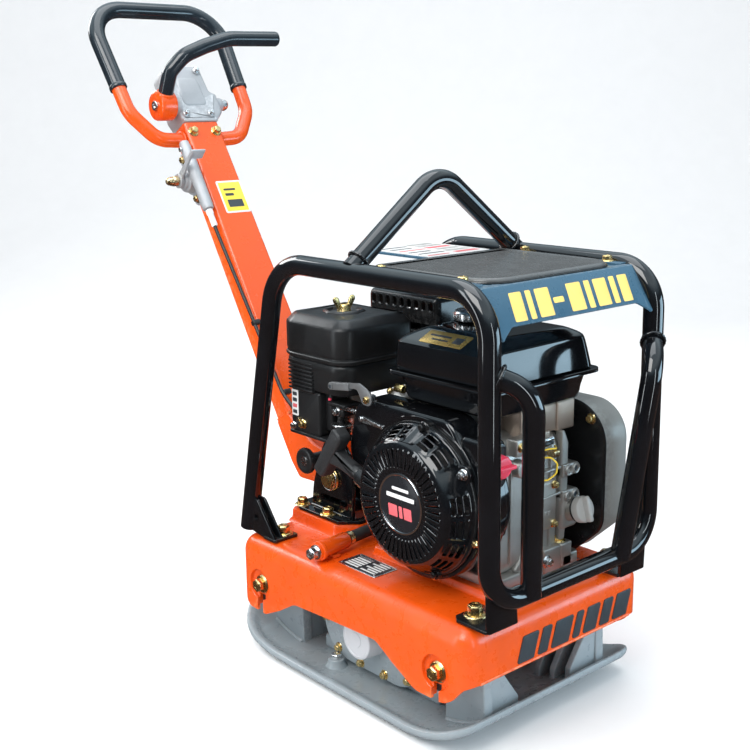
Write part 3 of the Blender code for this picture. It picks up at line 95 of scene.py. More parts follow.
# ================================================================ materials
def shader(name, base, rough, metal=0, coat=0, var=.07, rvar=.08, grain=None, grain2=None,
           wear=None, wear_at=.56, dirt=None, dirt_amt=.35, spec=.5, scale=11):
    """Colour and roughness clouds, up to two bumps, worn edges, dust on what faces up.

    var, rvar: spread of colour and roughness. grain: bump (scale, strength, distance).
    wear: edge colour, shown above pointiness wear_at. scale: size of the clouds.
    """
    m = bpy.data.materials.new(name)
    m.use_nodes = True
    nodes, links = m.node_tree.nodes, m.node_tree.links
    surface = nodes["Principled BSDF"]
    coords = nodes.new("ShaderNodeTexCoord")

    def noise(scale, detail, roughness, distortion=0):
        n = nodes.new("ShaderNodeTexNoise")
        n.inputs["Scale"].default_value = scale
        n.inputs["Detail"].default_value = detail
        n.inputs["Roughness"].default_value = roughness
        n.inputs["Distortion"].default_value = distortion
        links.new(coords.outputs["Object"], n.inputs["Vector"])
        return n.outputs["Fac"]

    def remap(source, span, to):
        n = nodes.new("ShaderNodeMapRange")
        for i, value in enumerate((*span, *to), 1):
            n.inputs[i].default_value = value
        links.new(source, n.inputs[0])
        return n.outputs[0]

    def multiply(a, b):
        n = nodes.new("ShaderNodeMath")
        n.operation = "MULTIPLY"
        links.new(a, n.inputs[0])
        links.new(b, n.inputs[1])
        return n.outputs[0]

    def mix(factor, a, b):
        n = nodes.new("ShaderNodeMix")
        n.data_type = "RGBA"
        links.new(factor, n.inputs["Factor"])
        for socket, value in ((6, a), (7, b)):   # the colour sockets A and B
            if isinstance(value, tuple):
                n.inputs[socket].default_value = (*value, 1)
            else:
                links.new(value, n.inputs[socket])
        return n.outputs[2]

    clouds = noise(scale, detail=5, roughness=.6, distortion=.3)
    clouds = remap(clouds, span=(.3, .7), to=(0, 1))
    darker = tuple(max(0.0, c * (1 - var)) for c in base)
    lighter = tuple(min(1.0, c * (1 + var)) for c in base)
    colour = mix(clouds, darker, lighter)
    if dirt is not None:
        geometry = nodes.new("ShaderNodeNewGeometry")
        normal = nodes.new("ShaderNodeSeparateXYZ")
        links.new(geometry.outputs["Normal"], normal.inputs[0])
        facing_up = remap(normal.outputs["Z"], span=(.1, 1), to=(.15, 1))
        patches = remap(noise(34, detail=7, roughness=.65), span=(.45, .75), to=(0, dirt_amt))
        colour = mix(multiply(facing_up, patches), colour, dirt)
    if wear is not None:
        geometry = nodes.new("ShaderNodeNewGeometry")
        edges = remap(geometry.outputs["Pointiness"], span=(wear_at, wear_at + .07), to=(0, 1))
        chips = remap(noise(120, detail=6, roughness=.7), span=(.42, .62), to=(0, .9))
        colour = mix(multiply(edges, chips), colour, wear)
    links.new(colour, surface.inputs["Base Color"])
    sheen = remap(noise(scale * 4.3, detail=6, roughness=.6), span=(.3, .7),
                  to=(max(.03, rough - rvar), min(1, rough + rvar)))
    links.new(sheen, surface.inputs["Roughness"])
    surface.inputs["Metallic"].default_value = metal
    surface.inputs["Coat Weight"].default_value = coat
    surface.inputs["Coat Roughness"].default_value = .06
    surface.inputs["Specular IOR Level"].default_value = spec
    previous = None
    for layer in filter(None, (grain, grain2)):
        size, strength, distance = layer
        bump = nodes.new("ShaderNodeBump")
        bump.inputs["Strength"].default_value = strength
        bump.inputs["Distance"].default_value = distance
        links.new(noise(size, detail=3, roughness=.6), bump.inputs["Height"])
        if previous is not None:
            links.new(previous, bump.inputs["Normal"])
        previous = bump.outputs["Normal"]
    if previous is not None:
        links.new(previous, surface.inputs["Normal"])
    m.diffuse_color = (*base, 1)
    return m


# paints
ORANGE = shader("orange_enamel", base=(.79, .086, .004), rough=.24, coat=.3, var=.06,
                grain=(85, .1, .0006), grain2=(900, .05, .0002), wear=(.95, .3, .14),
                dirt=(.62, .085, .02), dirt_amt=.3)
ORANGE_CAST = shader("orange_body_enamel", base=(.79, .086, .004), rough=.3, coat=.15, var=.08,
                     grain=(60, .22, .0012), grain2=(420, .1, .0004), wear=(.98, .26, .1),
                     dirt=(.72, .1, .018), dirt_amt=.12)
BLACK = shader("black_enamel", base=(.0042, .0048, .006), rough=.085, coat=.35, var=.25,
               rvar=.03, grain=(40, .035, .0006), wear=(.03, .03, .032), wear_at=.6,
               dirt=(.012, .011, .011), dirt_amt=.3)
BLACK_TUBE = shader("black_tube_enamel", base=(.0045, .0052, .0066), rough=.07, coat=.5,
                    var=.25, rvar=.025, grain=(26, .05, .0008), dirt=(.014, .012, .012),
                    dirt_amt=.25)
BLACK_SATIN = shader("black_satin", base=(.0085, .0088, .0095), rough=.24, coat=.1, var=.2,
                     rvar=.05, grain=(500, .08, .0003), wear=(.07, .07, .07),
                     dirt=(.035, .033, .031), dirt_amt=.3)
# plastics and covers
PLASTIC = shader("black_plastic", base=(.012, .0125, .0135), rough=.36, var=.15,
                 grain=(1500, .3, .0002), wear=(.07, .07, .07), wear_at=.58,
                 dirt=(.045, .045, .045), dirt_amt=.25)
PLASTIC_ROUGH = shader("textured_plastic", base=(.024, .025, .027), rough=.5, var=.15,
                       grain=(1900, .8, .0004), wear=(.16, .17, .17), wear_at=.55)
SLEEVE = shader("grip_sleeve", base=(.012, .018, .024), rough=.17, coat=.3, var=.3, rvar=.05,
                grain=(200, .06, .0003), dirt=(.045, .055, .062), dirt_amt=.25)
COVER = shader("cover_blue_grey", base=(.04, .11, .175), rough=.3, coat=.15, var=.08,
               grain=(700, .08, .0003), wear=(.25, .32, .38))
PAD = shader("cover_pad", base=(.105, .11, .112), rough=.26, var=.07, rvar=.05,
             grain=(1300, .12, .0002), dirt=(.17, .18, .185), dirt_amt=.2)
GREY = shader("grey_enamel", base=(.3, .35, .378), rough=.3, coat=.2, var=.1,
              grain=(45, .3, .0014), grain2=(500, .16, .0005), wear=(.5, .54, .57),
              dirt=(.33, .34, .34), dirt_amt=.45)
# metals
ALU = shader("cast_aluminium", base=(.5, .485, .46), rough=.42, metal=.85, var=.12,
             grain=(650, .55, .0006), grain2=(80, .2, .001), wear=(.8, .79, .77),
             dirt=(.2, .17, .14), dirt_amt=.45)
STEEL_GREY = shader("grey_steel", base=(.2, .205, .21), rough=.36, metal=.55, var=.15,
                    grain=(700, .3, .0003), wear=(.5, .5, .5))
ALU_TAN = shader("warm_aluminium", base=(.5, .4, .33), rough=.34, metal=.8, var=.1,
                 grain=(600, .35, .0005), wear=(.75, .68, .6))
ALU_HEAD = shader("rough_aluminium", base=(.47, .48, .5), rough=.5, metal=.55, var=.12,
                  grain=(800, .9, .0008), grain2=(110, .25, .001), wear=(.75, .76, .78))
MACHINED = shader("machined_steel", base=(.55, .55, .56), rough=.26, metal=1, var=.08,
                  grain=(1400, .15, .0002), dirt=(.25, .22, .18))
IRON = shader("machined_iron", base=(.16, .16, .165), rough=.45, metal=.8, var=.15,
              grain=(900, .35, .0004), wear=(.4, .4, .4), dirt=(.12, .08, .06))
CHROME = shader("chrome", base=(.8, .81, .83), rough=.09, metal=1, var=.03, rvar=.04,
                grain=(300, .05, .0002))
ZINC = shader("gold_zinc", base=(.8, .6, .27), rough=.26, metal=1, var=.22, rvar=.1, scale=90,
              grain=(1100, .18, .0002), wear=(.93, .86, .7), dirt=(.45, .3, .2), dirt_amt=.5)
SILVER_ZINC = shader("silver_zinc", base=(.74, .75, .76), rough=.24, metal=1, var=.12,
                     scale=80, grain=(1000, .15, .0002))
BRASS = shader("brass", base=(.74, .58, .34), rough=.25, metal=1, var=.15, scale=70,
               grain=(1000, .2, .0002), dirt=(.35, .22, .12))
# the rest
RUBBER = shader("rubber", base=(.018, .018, .019), rough=.62, var=.2, grain=(1200, .5, .0003),
                dirt=(.09, .085, .08))
SILVER = shader("silver_paint", base=(.29, .283, .265), rough=.46, metal=.35, var=.09,
                grain=(38, .25, .0012), grain2=(700, .15, .0003), wear=(.66, .66, .65),
                dirt=(.3, .27, .24))
RED = shader("red_plastic", base=(.8, .045, .1), rough=.34, var=.06, grain=(900, .15, .0002),
             wear=(.95, .35, .4))
FOAM = shader("filter_foam", base=(.045, .045, .05), rough=.95, var=.3, scale=260,
              grain=(1100, 1, .002))
WHITE = shader("white_label", base=(.8, .81, .81), rough=.42, var=.03, grain=(600, .05, .0001),
               dirt=(.6, .6, .58), dirt_amt=.2)
YELLOW = shader("yellow_label", base=(.93, .68, .07), rough=.4, var=.04,
                grain=(600, .06, .0001))
YELLOW_PALE = shader("yellow_paint", base=(.96, .66, .18), rough=.42, var=.04,
                     grain=(600, .06, .0001))
INK = shader("dark_print", base=(.035, .045, .055), rough=.45, var=.15, grain=(800, .1, .0001))
RED_INK = shader("red_print", base=(.72, .12, .14), rough=.45, var=.06,
                 grain=(800, .1, .0001))
GOLD_FOIL = shader("gold_foil", base=(.62, .42, .13), rough=.3, metal=.7, var=.1,
                   grain=(500, .1, .0001))
PLATE_DARK = shader("plate_dark", base=(.016, .017, .021), rough=.3, metal=.2, var=.15,
                    grain=(800, .1, .0001))
GREY_PLASTIC = shader("grey_plastic", base=(.36, .36, .35), rough=.4, var=.07,
                      grain=(900, .25, .0002), wear=(.66, .66, .65))
PLUG = shader("pale_plug", base=(.56, .58, .61), rough=.36, var=.05, grain=(500, .1, .0003))
CHARCOAL = shader("charcoal_relief", base=(.04, .052, .062), rough=.38, coat=.1, var=.15,
                  grain=(500, .25, .0004), wear=(.16, .18, .2))
WIRE = shader("yellow_wire", base=(.85, .6, .04), rough=.4, var=.05, grain=(900, .1, .0001))


# ================================================================ modelling helpers
AXES = {"x": Matrix(((0, 0, 1, 0), (1, 0, 0, 0), (0, 1, 0, 0), (0, 0, 0, 1))),
        "y": Matrix(((1, 0, 0, 0), (0, 0, 1, 0), (0, -1, 0, 0), (0, 0, 0, 1))),
        "z": Matrix.Identity(4)}


def new_object(name, data):
    ob = bpy.data.objects.new(name, data)
    WORK.objects.link(ob)
    return ob


def from_bm(bm, mat=None, name="part"):
    bmesh.ops.recalc_face_normals(bm, faces=bm.faces)
    mesh = bpy.data.meshes.new(name)
    bm.to_mesh(mesh)
    bm.free()
    ob = new_object(name, mesh)
    if mat is not None:
        ob.data.materials.append(mat)
    return ob


def evaluated_mesh(ob):
    bpy.context.view_layer.update()
    graph = bpy.context.evaluated_depsgraph_get()
    return bpy.data.meshes.new_from_object(ob.evaluated_get(graph))


def aim(at, direction):
    """The matrix that carries +Z to a direction standing on a point."""
    turn = Vector(UP).rotation_difference(Vector(direction).normalized())
    return Matrix.Translation(Vector(at)) @ turn.to_matrix().to_4x4()


def place(ob, matrix):
    ob.data.transform(matrix)
    ob.data.update()
    return ob


def box(x0, x1, y0, y1, z0, z1, mat=None, r=0, seg=5, which="all"):
    """A block; which edges are rounded: all, vert (upright) or topvert (upright and top)."""
    x0, x1 = sorted((x0, x1))
    y0, y1 = sorted((y0, y1))
    z0, z1 = sorted((z0, z1))
    bm = bmesh.new()
    bmesh.ops.create_cube(bm, size=1)
    for v in bm.verts:
        v.co = Vector((x0 + (v.co.x + .5) * (x1 - x0), y0 + (v.co.y + .5) * (y1 - y0),
                       z0 + (v.co.z + .5) * (z1 - z0)))
    if r > 0:
        top_z = z1 - 1e-6
        picked = []
        for e in bm.edges:
            a, b = e.verts
            upright = abs(a.co.z - b.co.z) > 1e-6
            top = a.co.z > top_z and b.co.z > top_z
            if which == "all" or upright or (which == "topvert" and top):
                picked.append(e)
        bmesh.ops.bevel(bm, geom=picked, offset=r, segments=seg, profile=.5, affect="EDGES",
                        clamp_overlap=True)
    return from_bm(bm, mat)


def rod(p0, p1, r, n=40):
    """A plain cylinder, used in booleans."""
    p0, p1 = Vector(p0), Vector(p1)
    bm = bmesh.new()
    bmesh.ops.create_cone(bm, cap_ends=True, segments=n, radius1=r, radius2=r,
                          depth=(p1 - p0).length)
    bmesh.ops.transform(bm, matrix=aim((p0 + p1) / 2, p1 - p0), verts=bm.verts)
    return from_bm(bm)


def curve_bm(curve, points, cyclic):
    """The bmesh of a curve with one poly spline."""
    curve.resolution_u = 1
    spline = curve.splines.new("POLY")
    spline.points.add(len(points) - 1)
    for knot, point in zip(spline.points, points):
        knot.co = (*point, 1)
    spline.use_cyclic_u = cyclic
    ob = new_object("part", curve)
    mesh = evaluated_mesh(ob)
    bpy.data.objects.remove(ob, do_unlink=True)
    bm = bmesh.new()
    bm.from_mesh(mesh)
    bmesh.ops.remove_doubles(bm, verts=bm.verts, dist=1e-6)
    return bm


def flat(outline, a0, a1, axis):
    """A cutter: an outline extruded from a0 to a1 along x or y."""
    curve = bpy.data.curves.new("part", "CURVE")
    curve.dimensions = "2D"
    curve.fill_mode = "BOTH"
    curve.extrude = abs(a1 - a0) / 2
    bm = curve_bm(curve, [(a, b, 0) for a, b in outline], True)
    mid = (a0 + a1) / 2
    if axis == "x":
        m = Matrix(((0, 0, 1, mid), (1, 0, 0, 0), (0, 1, 0, 0), (0, 0, 0, 1)))
    else:
        m = Matrix(((1, 0, 0, 0), (0, 0, -1, mid), (0, 1, 0, 0), (0, 0, 0, 1)))
    bmesh.ops.transform(bm, matrix=m, verts=bm.verts)
    return from_bm(bm)


def tube(points, r, mat=None, res=6, cyclic=False):
    curve = bpy.data.curves.new("part", "CURVE")
    curve.dimensions = "3D"
    curve.bevel_depth = r
    curve.bevel_resolution = res
    curve.use_fill_caps = True
    curve.twist_mode = "MINIMUM"
    return from_bm(curve_bm(curve, points, cyclic), mat)


def bent(points, radii, step=radians(7)):
    """A path through points whose corners are arcs of the given bend radii."""
    points = [Vector(p) for p in points]
    if not isinstance(radii, (list, tuple)):
        radii = [radii] * (len(points) - 2)
    out = [points[0]]
    for a, b, c, r in zip(points, points[1:], points[2:], radii):
        u, v = (a - b).normalized(), (c - b).normalized()
        angle = u.angle(v)
        turn = pi - angle
        if turn < 1e-3 or r <= 0:
            out.append(b)
            continue
        reach = r / (sin(angle / 2) / cos(angle / 2))
        centre = b + (u + v).normalized() * (r / sin(angle / 2))
        start, end = b + u * reach - centre, b + v * reach - centre
        axis = start.cross(end).normalized()
        n = max(3, int(round(turn / step)))
        for k in range(n + 1):
            out.append(centre + Matrix.Rotation(turn * k / n, 3, axis) @ start)
    out.append(points[-1])
    return out


def turned(profile, centre, axis="x", mat=None, n=64):
    """A profile of (along, radius) turned about an axis. Ends on the axis, or closes on itself."""
    bm = bmesh.new()
    rings = []
    for a, r in profile:
        if r < 1e-9:
            rings.append([bm.verts.new((0, 0, a))])
        else:
            rings.append([bm.verts.new((r * cos(2 * pi * k / n), r * sin(2 * pi * k / n), a))
                          for k in range(n)])
    pairs = list(zip(rings[:-1], rings[1:]))
    if profile[0][1] > 1e-9:
        pairs.append((rings[-1], rings[0]))
    for p, q in pairs:
        for k in range(n):
            j = (k + 1) % n
            if len(p) == 1 and len(q) == 1:
                continue
            if len(p) == 1:
                bm.faces.new((p[0], q[k], q[j]))
            elif len(q) == 1:
                bm.faces.new((p[k], p[j], q[0]))
            else:
                bm.faces.new((p[k], p[j], q[j], q[k]))
    if isinstance(axis, str):
        m = Matrix.Translation(Vector(centre)) @ AXES[axis]
    else:
        m = aim(centre, axis)
    bmesh.ops.transform(bm, matrix=m, verts=bm.verts)
    return from_bm(bm, mat)


def mirrored(profile, side):
    return [(side * a, r) for a, r in profile]


def loft(rows, mat=None, ring=False):
    """Skin closed rows of points; cap the ends, or join the last row to the first."""
    bm = bmesh.new()
    loops = [[bm.verts.new(p) for p in row] for row in rows]
    n = len(loops[0])
    for p, q in zip(loops, loops[1:] + (loops[:1] if ring else [])):
        for k in range(n):
            j = (k + 1) % n
            bm.faces.new((p[k], p[j], q[j], q[k]))
    if not ring:
        bm.faces.new(loops[0])
        bm.faces.new(loops[-1])
    return from_bm(bm, mat)


def bake(ob):
    """Apply the modifiers."""
    mesh = evaluated_mesh(ob)
    ob.modifiers.clear()
    old = ob.data
    ob.data = mesh
    bpy.data.meshes.remove(old)
    return ob


def boolean(base, others, operation):
    for other in others:
        mod = base.modifiers.new("b", "BOOLEAN")
        mod.operation = operation
        mod.solver = "EXACT"
        mod.object = other
        bake(base)
        bpy.data.objects.remove(other, do_unlink=True)
    bm = bmesh.new()
    bm.from_mesh(base.data)
    bmesh.ops.remove_doubles(bm, verts=bm.verts, dist=2e-6)
    bmesh.ops.dissolve_degenerate(bm, edges=bm.edges, dist=1e-6)
    bm.to_mesh(base.data)
    bm.free()


def add(base, *others):
    boolean(base, others, "UNION")


def cut(base, *others):
    boolean(base, others, "DIFFERENCE")


def soften(ob, width, seg, angle):
    """Round every hard edge a little."""
    mod = ob.modifiers.new("bevel", "BEVEL")
    mod.width = width
    mod.segments = seg
    mod.limit_method = "ANGLE"
    mod.angle_limit = radians(angle)
    mod.use_clamp_overlap = True
    mod.miter_outer = "MITER_ARC"
    return bake(ob)


def arcs(entries, steps):
    """Points along a chain of arcs given as (centre, radius, first angle, last angle)."""
    out = []
    for (a, b), r, start, end in entries:
        for k in range(steps + 1):
            t = radians(start + (end - start) * k / steps)
            out.append((a + r * cos(t), b + r * sin(t)))
    return out


def rounded(points, radii, n=6):
    """Round the corners of a flat outline, by one radius or one per corner."""
    out = []
    m = len(points)
    if not isinstance(radii, (list, tuple)):
        radii = [radii] * m
    for i in range(m):
        a, b, c = Vector(points[i - 1]), Vector(points[i]), Vector(points[(i + 1) % m])
        u, v = (a - b), (c - b)
        length_u, length_v = u.length, v.length
        u, v = u / length_u, v / length_v
        angle = max(1e-3, u.angle(v))
        if radii[i] <= 0 or abs(pi - angle) < .02:
            out.append(tuple(b))
            continue
        tangent = sin(angle / 2) / cos(angle / 2)
        reach = min(radii[i] / tangent, .48 * length_u, .48 * length_v)
        r = reach * tangent
        centre = b + (u + v).normalized() * (r / sin(angle / 2))
        start, end = b + u * reach - centre, b + v * reach - centre
        t0, t1 = atan2(start.y, start.x), atan2(end.y, end.x)
        sweep = t1 - t0
        while sweep > pi:
            sweep -= 2 * pi
        while sweep < -pi:
            sweep += 2 * pi
        for k in range(n + 1):
            t = t0 + sweep * k / n
            out.append((centre.x + r * cos(t), centre.y + r * sin(t)))
    return out


def rect(x0, x1, y0, y1, r, n=6):
    """The outline of a rectangle with rounded corners."""
    return rounded([(x0, y0), (x1, y0), (x1, y1), (x0, y1)], r, n)


def slab(outline, stations, axis, mat=None):
    """A solid on a flat outline whose section is a list of (inset, along) stations."""
    m = len(outline)
    area = 0
    for i in range(m):
        p, q = outline[i], outline[(i + 1) % m]
        area += p[0] * q[1] - q[0] * p[1]
    sign = 1 if area > 0 else -1
    inward = []
    for i in range(m):
        a, b, c = Vector(outline[i - 1]), Vector(outline[i]), Vector(outline[(i + 1) % m])
        u, v = (b - a), (c - b)
        u = u.normalized() if u.length > 1e-9 else v.normalized()
        v = v.normalized() if v.length > 1e-9 else u
        n1, n2 = Vector((-u.y, u.x)) * sign, Vector((-v.y, v.x)) * sign
        s = n1 + n2
        s = n1 if s.length < 1e-6 else s.normalized()
        inward.append(s * (1 / max(.55, s.dot(n1))))
    rows = []
    for inset, along in stations:
        row = []
        for p, q in zip(outline, inward):
            a, b = p[0] + q.x * inset, p[1] + q.y * inset
            row.append({"x": (along, a, b), "y": (a, along, b), "z": (a, b, along)}[axis])
        rows.append(row)
    return loft(rows, mat)


def pillow(a0, a1, r0, r1, n):
    """Section stations of a slab with both rims rounded."""
    s = 1 if a1 > a0 else -1
    angles = [pi / 2 * k / n for k in range(n + 1)]
    return ([(r0 * (1 - sin(t)), a0 + s * r0 * (1 - cos(t))) for t in angles]
            + [(r1 * (1 - cos(t)), a1 - s * r1 * (1 - sin(t))) for t in angles])


def board(outline, a0, a1, axis, mat, rim, end_rim=None, n=4):
    """A slab from a0 to a1 with rounded rims."""
    return slab(outline, pillow(a0, a1, rim, rim if end_rim is None else end_rim, n), axis, mat)


def capped(p0, p1, r, mat, edge=None, n=40):
    """A turned pin with both rims rounded."""
    p0, p1 = Vector(p0), Vector(p1)
    length = (p1 - p0).length
    e = min(r, length) * .18 if edge is None else edge
    profile = [(0, 0), (0, r - e), (e * .3, r - e * .3), (e, r), (length - e, r),
               (length - e * .3, r - e * .3), (length, r - e), (length, 0)]
    return turned(profile, p0, p1 - p0, mat, n)


def bolt(at, axis, across, h, washer=0, mat=ZINC, turn=0, washer_t=.0018, dish=True):
    """A hex bolt head on a point: width across flats, height, washer radius."""
    out = []
    z = 0
    if washer > 0:
        t = washer_t
        out.append(turned([(0, 0), (0, washer), (t * .25, washer), (t, washer - t * .75), (t, 0)],
                          (0, 0, 0), "z", mat, 40))
        z = t * .9
    corner = across / sqrt(3)
    rows = []
    for level, k in ((z, .97), (z + h * .12, 1), (z + h * .8, 1), (z + h, .86)):
        rows.append([(corner * k * cos(radians(60 * i + turn)),
                      corner * k * sin(radians(60 * i + turn)), level) for i in range(6)])
    out.append(soften(loft(rows, mat), min(.0006, across * .04), 2, 20))
    if dish:
        out.append(turned([(z + h * .5, 0), (z + h * .5, across * .3), (z + h * 1.02, across * .3),
                           (z + h * 1.02, across * .24), (z + h * .96, across * .22),
                           (z + h * .96, 0)], (0, 0, 0), "z", mat, 24))
    m = aim(at, axis)
    for ob in out:
        place(ob, m)
    return out


def weld_ring(at, axis, r, mat):
    """A rippled weld bead round a tube."""
    axis = Vector(axis).normalized()
    e1 = axis.orthogonal().normalized()
    e2 = axis.cross(e1)
    points = []
    for k in range(72):
        t = 2 * pi * k / 72
        ripple = r + .0003 * sin(t * 24)
        points.append(Vector(at) + e1 * (ripple * cos(t)) + e2 * (ripple * sin(t)))
    return tube(points, .0021, mat, 3, True)


def merge(name, parts):
    """Join several modelled solids into one object, each keeping its material."""
    mats = []
    bm = bmesh.new()
    for ob in parts:
        table = []
        for mat in (ob.data.materials[:] or [None]):
            if mat not in mats:
                mats.append(mat)
            table.append(mats.index(mat))
        first = len(bm.faces)
        bm.from_mesh(ob.data)
        bm.faces.ensure_lookup_table()
        for f in bm.faces[first:]:
            f.material_index = table[min(f.material_index, len(table) - 1)]
    mesh = bpy.data.meshes.new(name)
    bm.to_mesh(mesh)
    bm.free()
    for mat in mats:
        mesh.materials.append(mat)
    for ob in parts:
        bpy.data.objects.remove(ob, do_unlink=True)
    ob = new_object(name, mesh)
    ob.data.shade_smooth()
    return ob


def piece(name, body, parts, node, angle=38, leaning=False):
    """Finish one visible piece: join, shade, ride on its body and stand for a CAD node."""
    if leaning:
        for ob in parts:
            place(ob, LEAN_M)
    ob = merge(name, parts)
    ob.data.set_sharp_from_angle(angle=radians(angle))
    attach(ob, body)
    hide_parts(node)


# ================================================================ ground plate and exciter
def plate_floor(x, y):
    """Height of the plate's underside, curled up at front, rear and sides."""
    z = 0
    if y < -.12:
        z = .173 - sqrt(.173 ** 2 - (-.12 - y) ** 2)
    elif y > .13:
        z = .2 - sqrt(.2 ** 2 - (y - .13) ** 2)
    side = max(0, abs(x) - .135)
    return z + side * side * 4


def stadium(r):
    """Outline round both eccentric shafts."""
    return arcs([((SHAFT_Y, SHAFT_Z), r, -90, 90), ((-SHAFT_Y, SHAFT_Z), r, 90, 270)], 28)


def plate_outline(inset):
    rf, rr = max(.035 - inset, .006), max(.085 - inset, .012)
    w = PLATE_HALF - inset
    front, rear = PLATE_FRONT + inset, PLATE_REAR - inset
    corners = [((w - rf, front + rf), rf, -90), ((w - rr, rear - rr), rr, 0),
               ((-w + rr, rear - rr), rr, 90), ((-w + rf, front + rf), rf, 180)]
    out = []
    for i, (centre, r, start) in enumerate(corners):
        out += arcs([(centre, r, start, start + 90)], 12)
        a = out[-1]
        (cx, cy), r, start = corners[(i + 1) % 4]
        b = (cx + r * cos(radians(start)), cy + r * sin(radians(start)))
        m = 26 if i % 2 == 0 else 12
        for k in range(1, m):
            out.append((a[0] + (b[0] - a[0]) * k / m, a[1] + (b[1] - a[1]) * k / m))
    return out


def base_plate():
    """Curled plate with a raised edge, four posts and an oil boss."""
    stations = [   # inset from the edge, height above the underside
        (.125, 0), (.095, 0), (.065, 0), (.04, 0), (.02, 0), (.008, .0002), (.003, .001),
        (.0008, .003), (0, .0055), (0, .008), (.0007, .0105), (.0028, .0124), (.006, .0132),
        (.0095, .013), (.013, .012), (.0165, .0103), (.02, .0093), (.026, PLATE_T),
        (.034, PLATE_T), (.045, PLATE_T), (.065, PLATE_T), (.095, PLATE_T), (.125, PLATE_T)]
    parts = [loft([[(x, y, plate_floor(x, y) + h) for x, y in plate_outline(inset)]
                   for inset, h in stations], GREY)]
    for s in SIDES:
        for y0, y1 in ((-.21, -.142), (.146, .214)):
            post = [(y0 + .004, .134), (y1 - .004, .134)]
            for k in range(7):
                y = y1 + (y0 - y1) * k / 6
                post.append((y, plate_floor(.1, y) + PLATE_T * .5))
            post = rounded(post, [.014, .014] + [0] * 7, 8)
            parts.append(board(post, s * .1, s * .116, "x", GREY, .0022, n=3))
            middle = (y0 + y1) / 2
            for dy in (-.026, 0, .026):
                y = middle + dy
                floor = plate_floor(0, y)
                web = rounded([(s * .104, .118), (s * .104, floor + .003),
                               (s * .05, floor + .003), (s * .05, .022 + floor)],
                              [0, 0, 0, .006], 5)
                parts.append(board(web, y - .0045, y + .0045, "y", GREY, .0015, n=3))
            # fillet weld at the foot
            ys = [y0 + .004 + (y1 - y0 - .008) * k / 10 for k in range(11)]
            weld = [(s * .1165, y, plate_floor(.1, y) + PLATE_T) for y in ys]
            parts.append(tube(weld, .003, GREY, 3))
    parts.append(turned([(.007, 0), (.007, .0165), (.01, .015), (.013, .0128), (.0165, .0118),
                         (.019, .0115), (.02, .0105), (.02, 0)], (-.125, .062, 0), "z", GREY, 40))
    parts += bolt((-.125, .062, .0198), UP, .0135, .0065, mat=SILVER_ZINC)
    piece("ground_plate", "plate", parts, "base_plate", 34)


def exciter_case():
    parts = [slab(stadium(.054), [(.005, -.1045), (0, -.1045), (0, .1045), (.005, .1045)],
                  "x", GREY)]
    for x in (-.062, 0, .062):
        parts.append(board(stadium(.0565), x - .0045, x + .0045, "x", GREY, .0028, n=3))
    for s in SIDES:
        parts.append(board(stadium(.0575), s * .0945, s * .1049, "x", GREY, .002, n=3))
    parts.append(box(-.1, .1, -.116, .118, PLATE_T + .0003, .029, GREY, .004, 4))
    for x in (-.075, 0, .075):
        for y in (-.107, .107):
            parts += bolt((x, y, .0288), UP, .017, .01, .013, turn=12)
    piece("exciter_case_body", "plate", parts, "exciter_case", 36)


def exciter_cover(name, s):
    """End cover with a ring of ten bolts."""
    parts = [slab(stadium(.0555), [(.03, s * .1056), (0, s * .1056), (0, s * .112),
                                   (.0004, s * .1132), (.0016, s * .1146), (.0035, s * .115)],
                  "x", GREY)]
    n, r = 10, .0475
    straight, half_turn = 2 * SHAFT_Y, pi * r
    for k in range(n):
        t = (k + .5) / n * (4 * SHAFT_Y + 2 * pi * r)   # run along the bolt line
        if t < straight:
            y, z = -SHAFT_Y + t, SHAFT_Z + r
        elif t < straight + half_turn:
            a = (t - straight) / r
            y, z = SHAFT_Y + r * sin(a), SHAFT_Z + r * cos(a)
        elif t < 2 * straight + half_turn:
            y, z = SHAFT_Y - (t - straight - half_turn), SHAFT_Z - r
        else:
            a = (t - 2 * straight - half_turn) / r
            y, z = -SHAFT_Y - r * sin(a), SHAFT_Z - r * cos(a)
        parts += bolt((s * .1146, y, z), (s, 0, 0), .009, .0052, .0072, turn=17 * k,
                      washer_t=.0012)
    if s < 0:
        # pale round plug that closes the case, and the small breather above it
        parts.append(turned([(-.112, 0), (-.112, .0295), (-.118, .029), (-.1385, .0277),
                             (-.1408, .0268), (-.1418, .025), (-.142, .0228), (-.1412, .022),
                             (-.1412, .0105), (-.142, .0098), (-.142, 0)],
                            (0, 0, SHAFT_Z + .002), "x", PLUG, 72))
        parts.append(turned([(SHAFT_Z + h, r) for h, r in (
            (.024, 0), (.024, .0085), (.034, .008), (.0385, .0072), (.0398, .0055), (.04, 0))],
            (-.128, 0, 0), "z", PLUG, 32))
        parts += bolt((-.128, 0, SHAFT_Z + .0392), UP, .0085, .003, mat=SILVER_ZINC)
    else:
        # an open boss round the belt shaft at the front, a closed one at the rear
        rim = [(.114, .024), (.1158, .0232), (.1165, .0215)]
        opened = [(.114, .0122), *rim, (.1165, .015), (.116, .0122)]
        closed = [(.114, 0), *rim, (.1165, .006), (.1165, 0)]
        for y, profile in ((-SHAFT_Y, opened), (SHAFT_Y, closed)):
            parts.append(turned(profile, (0, y, SHAFT_Z), "x", GREY, 48))
    piece("exciter_cover_" + name + "_body", "plate", parts, "exciter_cover_" + name,
          36)


